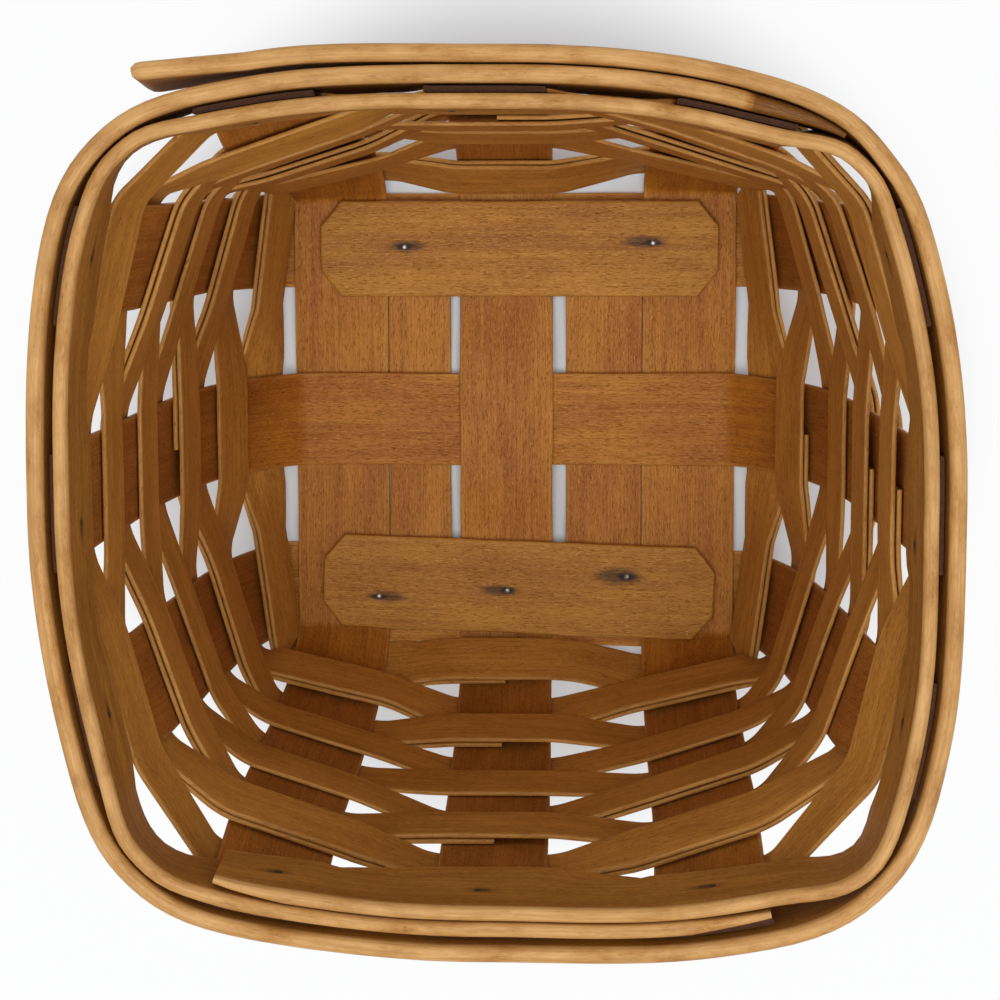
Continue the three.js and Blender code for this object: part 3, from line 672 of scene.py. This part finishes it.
def splintWood(name, tones, finish, floorTones=None, stains=()):
    shade = Shade(name)
    at = shade.attribute("grain", "Vector")
    edge = shade.attribute("edgeWearAndPaintedShade")
    noise = {field: shade.noise(at, **values) for field, values in grainFields.items()}
    broad, streak, mottle = (noise[field] * share for field, share in toneShares.items())
    fields = {field: shade.ramp(noise[field], *grainLimits[field]) for field in ("fibre", "flecks", "pores")}
    fields["tone"] = shade.ramp(broad + streak + mottle, *grainLimits["tone"])
    fields["worn"] = edge * shade.ramp(noise["mottle"] + noise["fibre"] * wornFibre, *grainLimits["worn"])
    colour = toned(shade, tones, finish, fields)
    if floorTones:
        onBase = toned(shade, floorTones, finish, fields)
        colour = shade.blend(shade.attribute("floorShare"), colour, onBase)
    # painted shade where the edge wear attribute is below zero: the rim's groove and the wedge under the lap
    colour = shade.blend(shade.ramp(0.0 - edge, 0.0, 1.0) * paintedShade["share"], colour, paintedShade["tone"])
    if stains:
        colour = stained(shade, colour, at, noise, stains)
    rough = finish["rough"] + (noise["fibre"] - 0.5) * finish["fibreRough"]
    rough = rough + fields["pores"] * finish["poreRough"] - fields["worn"] * finish["wornSmooth"]
    height = noise["fibre"] * finish["fibreHigh"] - fields["pores"] * finish["poreDeep"]
    height = height + noise["streak"] * finish["streakHigh"]
    depth = {"Strength": finish["bump"], "Distance": finish["bumpDepth"], "Height": height}
    shade.bsdf.inputs["Specular IOR Level"].default_value = finish["gloss"]
    return shade.finish(Base_Color=colour, Roughness=rough, Normal=shade.node("ShaderNodeBump", {}, depth))


# Braces: flat boards with clipped corners. The back one's solid tells how far the base is off the origin.

brace = {
    "length": 81.0,
    "over": 0.35,
    "thick": 1.6,
    "lift": 0.45,
    "round": 0.42,
    "bevel": 0.3,  # share of the rounding at its middle
    "topWear": 0.8,
    "edgeBand": 0.6,
    "step": 5.0,
    "uneven": 0.08,
    "chamferLong": 4.2,
    "chamferWide": 5.2,
    "back": {"x": 0.9, "past": -1.6, "turn": 0.0},
    "front": {"x": 0.7, "past": -0.3, "turn": -2.1},
    "nails": {
        "back_left": (-3.2, -1.2), "back_right": (2.0, -0.4), "front_left": (-2.2, -2.3),
        "front_middle": (0.2, -1.0), "front_right": (5.2, 2.0),
    },  # how far to the right and to the back of the strips that they go into
    "stains": {
        "back_left": (4.8, 1.5, 0.6), "back_right": (5.8, 1.5, -1.8), "front_left": (5.4, 1.3, 1.6),
        "front_middle": (5.0, 1.7, -1.8), "front_right": (6.6, 2.2, -1.7),
    },  # half length, half width, and how far the stain has run along the grain
    "stainStrength": 1.0,
}
braceWidth = splint["uprightWidth"] + brace["over"]
braceBottom = highLayer + splint["uprightThick"] / 2 + brace["lift"]
braceTop = braceBottom + brace["thick"]
nailedX = {
    "back_left": fillerX["left"], "back_right": innerEdge, "front_left": -innerEdge,
    "front_middle": base["middleX"], "front_right": fillerX["right"],
}
nailedY = {"back": base["pitch"], "front": -base["pitch"]}
braceNails = {
    label: (nailedX[label] + right, nailedY[label.split("_")[0]] + behind)
    for label, (right, behind) in brace["nails"].items()
}
braceLow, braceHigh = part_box("base_brace_back")
shift = Vector((
    (braceLow[0] + braceHigh[0]) / 2 / mm - brace["back"]["x"],
    (braceLow[1] + braceHigh[1]) / 2 / mm - base["pitch"] - brace["back"]["past"],
    0,
))
print("shift of the base middle, mm:", [round(c, 3) for c in shift])


def braceOutline(seed):
    l, h = brace["length"] / 2, braceWidth / 2
    cl, cw = brace["chamferLong"], brace["chamferWide"]
    half = [(l - cl, -h), (l, -h + cw), (l, h - cw), (l - cl, h)]
    corners = [Vector(c) for c in half] + [Vector((-x, -y)) for x, y in half]
    rng = random.Random(seed)
    points = []
    for a, b in zip(corners, corners[1:] + corners[:1]):
        steps = max(2, round((b - a).length / brace["step"]))
        side = Vector((b.y - a.y, a.x - b.x)).normalized()
        for k in range(steps):
            points.append(a.lerp(b, k / steps) + side * rng.uniform(-1, 1) * brace["uneven"])
    return points


def drawnIn(points, distance):
    moved = []
    for i, p in enumerate(points):
        before = (p - points[i - 1]).normalized()
        after = (points[(i + 1) % len(points)] - p).normalized()
        inward = Vector((-before.y - after.y, before.x + after.x))
        moved.append(p + inward * (distance / (1 + before.dot(after))))
    return moved


def braceMesh(name, middle, u, n, seed):
    outline = braceOutline(seed)
    r, t = brace["round"], brace["thick"]
    bevel = brace["bevel"] * r
    rings = [
        (r, 0, 1), (0, r, 1), (0, t - r, 1), (bevel, t - bevel, 1),
        (r, t, brace["topWear"]), (r + brace["edgeBand"], t, 0),
    ]  # inset, height and wear
    verts, grain, wear = [], [], []
    for inset, z, worn in rings:
        for p in drawnIn(outline, inset):
            at = middle + u * p.x + n * p.y + zUp * (z - t / 2)
            verts.append((at + shift) * mm)
            grain.extend((p.x + grainAlong * seed, p.y + grainAcross * seed, z))
            wear.append(worn)
    return solidMesh(name, verts, ringFaces(len(rings), len(outline)), grain, wear, [1.0] * len(wear))


def makeBraces():
    for k, (wallName, sign) in enumerate((("back", 1), ("front", -1))):
        seed = seeds["braces"] + 2 * k
        spot = brace[wallName]
        turn = math.radians(spot["turn"])
        u = Vector((math.cos(turn), math.sin(turn), 0))
        n = Vector((-u.y, u.x, 0))
        middle = Vector((spot["x"], sign * base["pitch"] + spot["past"], (braceBottom + braceTop) / 2))
        stains = []
        for label, (x, y) in braceNails.items():
            if label.startswith(wallName):
                off = Vector((x, y, middle.z)) - middle
                along, across = off.dot(u) + grainAlong * seed, off.dot(n) + grainAcross * seed
                stains.append((along, across, *brace["stains"][label], brace["stainStrength"]))
        node = "base_brace_" + wallName
        material = splintWood("braceBoard" + wallName.title(), braceTones, braceFinish, None, stains)
        place("board_" + node, braceMesh(node, middle, u, n, seed), material, "brace_wood", node)
    print("braces made: 2")


# Uprights: six strips, each up one wall, across the base and up the opposite one

def passing(start, finish, centre):
    def height(d):
        clear = halfCross + base["crossEase"]
        t = (abs(d - centre) - clear) / (innerEdge - base["crossEase"] - clear)
        return mix(finish, start, ease(t))
    return height


def level(height):
    return lambda d: height


dip = passing(highLayer, lowLayer, base["middleY"])
arch = passing(highLayer, topLayer, base["middleY"])
strips = [
    ("upright_left", "front_left", "back_left", highLayer, dip),
    ("upright_middle", "front_middle", "back_middle", highLayer, arch),
    ("upright_right", "front_right", "back_right", highLayer, dip),
    ("cross_upright_front", "left_front", "right_front", lowLayer, level(lowLayer)),
    ("cross_upright_middle", "left_middle", "right_middle", highLayer, level(highLayer)),
    ("cross_upright_back", "left_back", "right_back", lowLayer, level(lowLayer)),
]
stripStart = {end: strip[3] for strip in strips for end in strip[1:3]}


def flatRun(begin, finish, across, height, bulge=0.0):
    along = Vector((finish.x - begin.x, finish.y - begin.y, 0)).normalized()
    first, last = begin.dot(along), finish.dot(along)
    stations = []
    steps = base["flatSteps"]
    probe = 0.05
    for i in range(1, steps):
        d = mix(first, last, i / steps)
        aside = bulge * ease(min(i, steps - i) / steps / base["bulgeEase"])
        at = begin.lerp(finish, i / steps) + across * aside
        at.z = height(d)
        run = (along + zUp * ((height(d + probe) - height(d - probe)) / (2 * probe))).normalized()
        stations.append(station(at, across, across.cross(run).normalized(), floor=1.0))
    return stations


def mirrored(s):
    cup = s["cup"]
    turned = (lambda a: cup(-a)) if cup else None
    return station(s["at"], -s["u"], s["n"], cup=turned, floor=s["floor"], dark=s["dark"])


def makeUprights(material):
    section = roundedSection(splint["uprightWidth"], splint["uprightThick"], splint["edgeRound"], faceSteps=8)
    for k, (node, endA, endB, start, height) in enumerate(strips):
        a, b = (wallStations(placeOf[end], start, *wall["fineSteps"]) for end in (endA, endB))
        flat = flatRun(a[0]["at"], b[0]["at"], b[0]["u"], height, base["bulge"].get(node, 0.0))
        stations = [mirrored(s) for s in reversed(a)] + flat + b
        mesh = sweepMesh(node, stations, section, seeds["uprights"] + 2 * k, splint["uneven"])
        place("splint_" + node, mesh, material, "upright_wood", node)
    print("uprights made:", len(strips))


def makeFillers(material):
    half = base["pitch"] + braceWidth / 2 - base["fillerTuck"]
    across = Vector((1, 0, 0))
    widen = base["fillerWiden"]
    for k, side in enumerate(("left", "right")):
        x = fillerX[side] + math.copysign(widen / 2, fillerX[side])
        begin, finish = (Vector((x, d, dip(d))) for d in (-half, half))
        tips = [station(p, across, across.cross(Vector((0, 1, 0))), floor=1.0) for p in (begin, finish)]
        stations = [tips[0]] + flatRun(begin, finish, across, dip) + [tips[1]]
        width = fillerWidths[side] + widen
        section = roundedSection(width, splint["uprightThick"], splint["edgeRound"], faceSteps=6)
        node = "base_filler_" + side
        mesh = sweepMesh(node, stations, section, seeds["fillers"] + 2 * k, base["fillerUneven"])
        place("splint_" + node, mesh, material, "base_wood", node)
    print("fillers made: 2")


# Weavers: nine rows, in turn inside and outside the uprights, each over its own start

weave = {
    "edgeMargin": 0.8,  # how far past an upright's edge a weaver bends
    "cornerMargin": 0.85,
    "lowFrontMargin": 4.5,  # the lowest row keeps straight this far past the front middle
    "lowFrontCut": 5.0,
    "lowFrontTilt": {"front_left": 0.3, "front_right": 0.2},
    "edgeCut": 2.6,  # length of the bend
    "cornerCut": 2.6,
    "cutMost": 0.45,
    "bendSteps": 6,
    "runStep": 2.2,
    "uneven": 0.16,
    "lowWear": 0.6,  # wear of the lower edges, where the upper ones have 1
    "laps": [
        ("front_middle", 11), ("right_middle", 5), ("front_middle", 5),
        ("left_middle", 5), ("back_middle", 3), ("right_middle", 3),
        ("front_middle", 5), ("right_middle", 5), ("back_middle", 3),
    ],  # the end where a row's tail stops, and how many uprights it overlaps
}
closeOn = splint["uprightThick"] / 2 + splint["slip"] + splint["weaverThick"] / 2
lapLayer = splint["weaverThick"] + splint["slip"]
endLines = [wallStations(i, stripStart[end["name"]], *wall["coarseSteps"]) for i, end in enumerate(ring)]


def room(i, f, sign):  # what a flat weaver needs on a curved and twisted upright
    line = endLines[i % endCount]
    reach = splint["weaverWidth"] / 2 + splint["slip"]
    need = 0.0
    steps = 20
    for a, b in zip(line, line[1:]):
        for k in range(steps + 1):
            middle = a["at"].lerp(b["at"], k / steps) - f["at"]
            across = a["u"].lerp(b["u"], k / steps)
            for s in (-1, 0, 1):
                q = middle + across * (s * halfCross)
                if abs(q.dot(f["up"])) <= reach:
                    need = max(need, sign * q.dot(f["out"]))
    return need


def straightRuns(corners):
    places = [(corners[0]["at"], corners[0]["up"])]
    for i in range(1, len(corners)):
        c = corners[i]
        tip = i == len(corners) - 1
        bent = [c["at"]]
        if not tip:
            enter, leave = (
                c["at"].lerp(o["at"], min(c["cut"] / (o["at"] - c["at"]).length, weave["cutMost"]))
                for o in (corners[i - 1], corners[i + 1])
            )
            shares = [k / weave["bendSteps"] for k in range(weave["bendSteps"] + 1)]
            bent = [enter * (1 - t) ** 2 + c["at"] * (2 * t * (1 - t)) + leave * t * t for t in shares]
        left, leftUp = places[-1]
        steps = max(1, round((bent[0] - left).length / weave["runStep"]))
        shares = [k / steps for k in range(1, steps)]
        places += [(left.lerp(bent[0], t), leftUp.lerp(c["up"], t)) for t in shares]
        places += [(at, c["up"]) for at in bent]
    stations = []
    for i, (at, up) in enumerate(places):
        ahead = (places[min(len(places) - 1, i + 1)][0] - at).normalized()
        behind = (at - places[max(0, i - 1)][0]).normalized()
        run = (ahead + behind).normalized()
        u = (up - run * run.dot(up)).normalized()
        stations.append(station(at, u, run.cross(u).normalized()))
    return stations


def weaverStations(row):
    last, laps = weave["laps"][row]
    z = rowHeights[row]
    finish = placeOf[last] + 2 * endCount
    begin = finish - laps - endCount
    corners = []
    for i in range(begin, finish + 1):
        end = endAt(i)
        f = endFrame(end, z)
        inside = (i % 2 == 0) == (row % 2 == 0)
        lapped = i <= finish - endCount if inside else i >= begin + endCount
        sign = -1 if inside else 1
        off = sign * (closeOn + (lapLayer if lapped else 0) + room(i, f, sign))
        sides = [s for s in (-1, 0, 1) if s or i in (begin, finish)]
        for s in sides:
            if (i == begin and s < 0) or (i == finish and s > 0):
                continue
            turning = s == end["side"]
            half = halfCross + weave["cornerMargin" if turning else "edgeMargin"]
            cut = weave["cornerCut" if turning else "edgeCut"]
            up = f["up"]
            if row == 0 and end["name"] == "front_middle":
                half = halfCross + weave["lowFrontMargin"]
                cut = weave["lowFrontCut"]
            if row == 0 and s == -end["side"]:
                up = (up + f["out"] * weave["lowFrontTilt"].get(end["name"], 0.0)).normalized()
            at = f["at"] + f["across"] * (s * half) + f["out"] * off
            corners.append({"at": at, "up": up, "cut": cut})
    return straightRuns(corners)


def makeWeavers(material):
    width, thick, radius = splint["weaverWidth"], splint["weaverThick"], splint["edgeRound"]
    section = roundedSection(width, thick, radius, faceSteps=4, wearLow=weave["lowWear"])
    for row in range(wall["rows"]):
        node = "weaver_row_%d" % (row + 1)
        mesh = sweepMesh(node, weaverStations(row), section, seeds["weavers"] + 2 * row, weave["uneven"])
        place("splint_" + node, mesh, material, "weaver_wood", node)
    print("weavers made:", wall["rows"])


# Rim bands: rounded, bent round the upright ends, lapped along the front and the back

def bandOn(thick):
    return splint["uprightThick"] / 2 + splint["slip"] + thick / 2


def toedIn(most):
    return lambda a: most * (0.5 - a / rim["height"])


def bandRun(begin, finish, offAt):
    stations = []
    count = round((finish - begin) * rim["endSteps"])
    for k in range(count + 1):
        where = mix(begin, finish, k / count)
        r = rimPlace(where)
        off = offAt(where)
        inner = off < 0
        pinch = r["pinch"] * (rim["innerPinch"] if inner else -rim["outerPinch"])
        toe = toedIn(r["innerToe" if inner else "outerToe"])
        stations.append(station(r["at"] + r["n"] * (off + pinch), r["u"], r["n"], cup=toe))
    return stations


def innerBandStations():
    begin = placeOf["front_left"] - endCount - rim["lapLead"]
    lapEnd = placeOf["front_right"] + rim["lapLead"]
    single = -bandOn(rim["innerThick"])
    doubled = single - rim["innerThick"] - splint["slip"]

    def off(where):
        return mix(doubled, single, ease((where - lapEnd) / rim["lapDown"]))

    stations = bandRun(begin, lapEnd + endCount, off)
    for k in range(rim["shavedSteps"]):
        for s in (stations[k], stations[-1 - k]):
            s["wide"], s["thick"] = (mix(left, 1, k / rim["shavedSteps"]) for left in rim["shaved"])
    return stations


def tongueStations(begin, single, off):  # what lies under the lap, shaved to the room that is there
    tongue = []
    for k in range(rim["tongueSteps"]):
        where = begin - rim["tongueRun"] * (1 - k / rim["tongueSteps"])
        r = rimPlace(where)
        free = off(where + endCount) - single - rim["tongueSlip"]
        share = min(1.0, max(rim["tongueLeast"], free / rim["outerThick"]))
        at = r["at"] + r["n"] * (single - rim["outerThick"] * (1 - share) / 2)
        # the tongue is darkened with painted shade of the wedge under the lap
        tongue.append(station(at, r["u"], r["n"], rim["tongueHeight"], share, dark=rim["tonguePaintedShade"]))
    return tongue


def tailed(stations):  # the free end, which runs on straighter than the rim and leans
    tail = stations[-1]
    up, out = tail["u"], tail["n"]
    run = up.cross(out).lerp(walls["back"]["along"], rim["tailStraight"]).normalized()
    for k in range(1, rim["tailSteps"] + 1):
        d = k / rim["tailSteps"]
        shrink = math.sqrt(1 - clamp((d - 1) / rim["tailRound"] + 1) ** 2)
        lean = math.radians(rim["tailLean"]) * ease(d)
        at = tail["at"] + run * (rim["tailReach"] * d) - out * (math.sin(lean) * rim["height"] / 2)
        u = up * math.cos(lean) + out * math.sin(lean)
        n = out * math.cos(lean) - up * math.sin(lean)
        stations.append(station(at, u, n, *(mix(left, 1, shrink) for left in rim["tailTip"])))
    return stations


def outerBandStations():
    begin = placeOf["back_right"]
    finish = placeOf["back_left"] + endCount
    single = bandOn(rim["outerThick"])

    def off(where):
        return single + outerRise(where) + rim["tailLift"] * ease(where - finish + 1)

    return tongueStations(begin, single, off) + tailed(bandRun(begin, finish, off))


rimStain = {"long": 4.0, "wide": 1.6, "ahead": 0.0, "strength": 0.6}
rimLook = {"faceSteps": 8, "wearLow": 0.3, "cornerSteps": 4}


def rimNailStart(i):
    f = rimFrames[i]
    end = ring[i]
    thick = rim["innerThick"]
    if end["wall"] == "front":
        thick = 2 * thick + splint["slip"]
    face = splint["uprightThick"] / 2 + splint["slip"] + thick
    at = f["at"] + f["across"] * end["nail"] + f["out"] * (cups[i](end["nail"]) - face)
    return at, f["out"], thick


def makeBands():
    seed = seeds["rim"]
    innerStations = innerBandStations()
    section = roundedSection(rim["height"], rim["innerThick"], rim["innerRound"], **rimLook)
    mesh = sweepMesh("rim_band_inner", innerStations, section, seed, rim["uneven"])
    stains = []
    for i in range(endCount):
        at = rimNailStart(i)[0]
        near = min(innerStations, key=lambda s: (s["at"] - at).length)
        stains.append((near["walked"] + grainAlong * seed, grainAcross * seed, *rimStain.values()))
    inside = splintWood("rimInside", rimTones, rimFinish, None, stains)
    place("band_rim_inner", mesh, inside, "rim_wood", "rim_band_inner")
    section = roundedSection(rim["height"], rim["outerThick"], rim["outerRound"], **rimLook)
    mesh = sweepMesh("rim_band_outer", outerBandStations(), section, seed + 2, rim["uneven"])
    outside = splintWood("rimOutside", rimTones, rimFinish)
    place("band_rim_outer", mesh, outside, "rim_wood", "rim_band_outer")
    print("rim bands made: 2")


# Nails: low domed heads on straight shanks

nail = {
    "radius": 0.4,
    "head": 0.7,
    "headThick": 0.3,
    "dome": ((0.0, 0.3), (0.05, 0.6), (0.14, 0.88), (0.22, 1.0)),  # depth, and share of the head's radius
    "neck": 0.02,
    "point": 1.2,
    "tip": 0.3,  # share of the radius left at the point
    "short": 0.9,  # how far a rim nail stops short of the outside
    "sides": 16,
    "sunk": 0.15,  # how deep the heads are driven into the wood
    "lapped": ("back_right", "back_middle"),  # ends where the outer band lies double
    "bright": (0.32, 0.3, 0.27),
    "rust": (0.035, 0.022, 0.014),
    "rustSize": {"scale": (900, 900, 900), "detail": 3.0, "rough": 0.6},
    "rough": 0.35,
    "rustRough": 0.3,
    "rustDull": 0.9,
    "rusted": (0.1, 0.3),  # where the noise starts to be rust, and where it is all rust
    "dulled": (0.5, 0.75),
}


def nailMetal(name, clean, dirty):
    shade = Shade(name)
    at = shade.node("ShaderNodeTexCoord", {}, {}, "Object")
    rust = shade.ramp(shade.noise(at, **nail["rustSize"]), clean, dirty)
    colour = shade.blend(rust, nail["bright"], nail["rust"])
    rough = nail["rough"] + rust * nail["rustRough"]
    return shade.finish(Base_Color=colour, Roughness=rough, Metallic=1.0 - rust * nail["rustDull"])


def nailMesh(name, start, direction, length, under):
    ref = Vector((1, 0, 0)) if direction == -zUp else zUp
    u = (ref - direction * direction.dot(ref)).normalized()
    n = direction.cross(u)
    head, shank, sides = nail["head"], nail["radius"], nail["sides"]
    profile = [(d, share * head) for d, share in nail["dome"]]
    profile += [(under, head), (under + nail["neck"], shank)]
    profile += [(length - nail["point"], shank), (length, nail["tip"] * shank)]
    verts = []
    for d, r in profile:
        for k in range(sides):
            a = 2 * math.pi * k / sides
            verts.append((start + direction * d + (u * math.cos(a) + n * math.sin(a)) * r + shift) * mm)
    return solidMesh(name, verts, ringFaces(len(profile), sides))


def makeNails(rusty, bright):
    under = nail["headThick"]
    proud = under - nail["sunk"]
    for i, end in enumerate(ring):
        at, out, thick = rimNailStart(i)
        backLap = rim["outerThick"] + splint["slip"] if end["name"] in nail["lapped"] else 0
        through = thick + splint["uprightThick"] + 2 * splint["slip"] + rim["outerThick"] + backLap
        node = "rim_nail_" + end["name"]
        mesh = nailMesh(node, at - out * proud, out, proud + through - nail["short"], under)
        place("pin_" + node, mesh, rusty, "nail_steel", node)
    for label, (x, y) in braceNails.items():
        start = Vector((x, y, braceTop + proud))
        node = "brace_nail_" + label
        mesh = nailMesh(node, start, -zUp, start.z - lowLayer, under)
        place("pin_" + node, mesh, bright, "nail_steel", node)
    print("nails made:", len(ring) + len(braceNails))


# Floor, light and camera

studio = {
    "floorColour": (0.74, 0.78, 0.82),
    "floorRough": 0.9,
    "floorHalf": 6.0,
    "floorDrop": 0.0002,
    "floorGlow": (0.03, 0.92),  # share of plain white that the camera sees, under the basket and far off; the low share near the basket paints shade on the floor round and under it
    "glowFrom": (0.07, 0.1),
    "skyStrength": 0.72,
    "keyPower": 8.3,
    "keyPlace": (0.0, -0.15, 1.3),
    "keySize": 0.9,
    "keyAim": (0.0, 0.0, 0.05),
}
photoView = {
    "place": (12.083, 61.492, 543.038),  # mm from the middle of the base
    "turn": (-0.1458, 0.0279, 0.0024),  # radians about X, Y, Z
    "focal": 2639.87,  # pixels
    "picture": 1000,
    "sensor": 36,
    "clipStart": 0.01,
}


def makeFloor():
    shade = Shade("paleFloor")
    kinds = ("Camera", "Glossy", "Transmission")
    ray = [shade.node("ShaderNodeLightPath", {}, {}, "Is %s Ray" % kind) for kind in kinds]
    seen = ray[0].most(ray[1]).most(ray[2])
    glow = shade.node("ShaderNodeEmission", {}, {"Color": (1, 1, 1), "Strength": 1.0})
    shade.finish(Base_Color=studio["floorColour"], Roughness=studio["floorRough"])
    plain = Wire(shade, shade.bsdf.outputs[0])
    at = shade.node("ShaderNodeTexCoord", {}, {}, "Object")
    far = shade.node("ShaderNodeVectorMath", {"operation": "LENGTH"}, {0: at}, "Value")
    near, most = studio["floorGlow"]
    # painted shade on the floor: the camera's plain white falls off towards the basket, over the shadow that
    # the lamps cast
    share = near + shade.ramp(far, *studio["glowFrom"]) * (most - near)
    both = shade.node("ShaderNodeMixShader", {}, {0: seen * share, 1: plain, 2: glow})
    shade.join(shade.tree.nodes["Material Output"].inputs["Surface"], both)
    half = studio["floorHalf"]
    corners = [(-half, -half, 0), (half, -half, 0), (half, half, 0), (-half, half, 0)]
    mesh = bpy.data.meshes.new("floor")
    mesh.from_pydata(corners, [], [(0, 1, 2, 3)])
    mesh.materials.append(shade.material)
    floor = bpy.data.objects.new("floor", mesh)
    bpy.context.scene.collection.objects.link(floor)
    floor.location.z = -studio["floorDrop"]


def makeLight():
    world = bpy.data.worlds.new("softRoom")
    bpy.context.scene.world = world
    world.use_nodes = True
    sky = world.node_tree.nodes["Background"]
    sky.inputs["Color"].default_value = (1, 1, 1, 1)
    sky.inputs["Strength"].default_value = studio["skyStrength"]
    lamp = bpy.data.lights.new("keyLamp", "AREA")
    lamp.energy = studio["keyPower"]
    lamp.size = studio["keySize"]
    key = bpy.data.objects.new("keyLamp", lamp)
    key.location = studio["keyPlace"]
    key.rotation_euler = (Vector(studio["keyAim"]) - key.location).to_track_quat("-Z", "Y").to_euler()
    bpy.context.scene.collection.objects.link(key)


def makeCamera():
    lens = bpy.data.cameras.new("photoCamera")
    lens.sensor_width = photoView["sensor"]
    lens.lens = photoView["focal"] * lens.sensor_width / photoView["picture"]
    lens.clip_start = photoView["clipStart"]
    lens.dof.use_dof = False
    camera = bpy.data.objects.new("photoCamera", lens)
    camera.rotation_mode = "ZYX"
    camera.rotation_euler = photoView["turn"]
    camera.location = (Vector(photoView["place"]) + shift) * mm
    bpy.context.scene.collection.objects.link(camera)
    bpy.context.scene.camera = camera


makeUprights(splintWood("uprightSplint", uprightTones, splintFinish, baseTones))
makeFillers(splintWood("fillerSplint", baseTones, splintFinish))
makeBraces()
makeWeavers(splintWood("weaverSplint", wallTones, weaverFinish))
makeBands()
makeNails(nailMetal("rustedNail", *nail["rusted"]), nailMetal("dulledNail", *nail["dulled"]))
makeFloor()
makeLight()
makeCamera()
print("floor, light and camera made")
bpy.context.scene.view_settings.view_transform = "Standard"
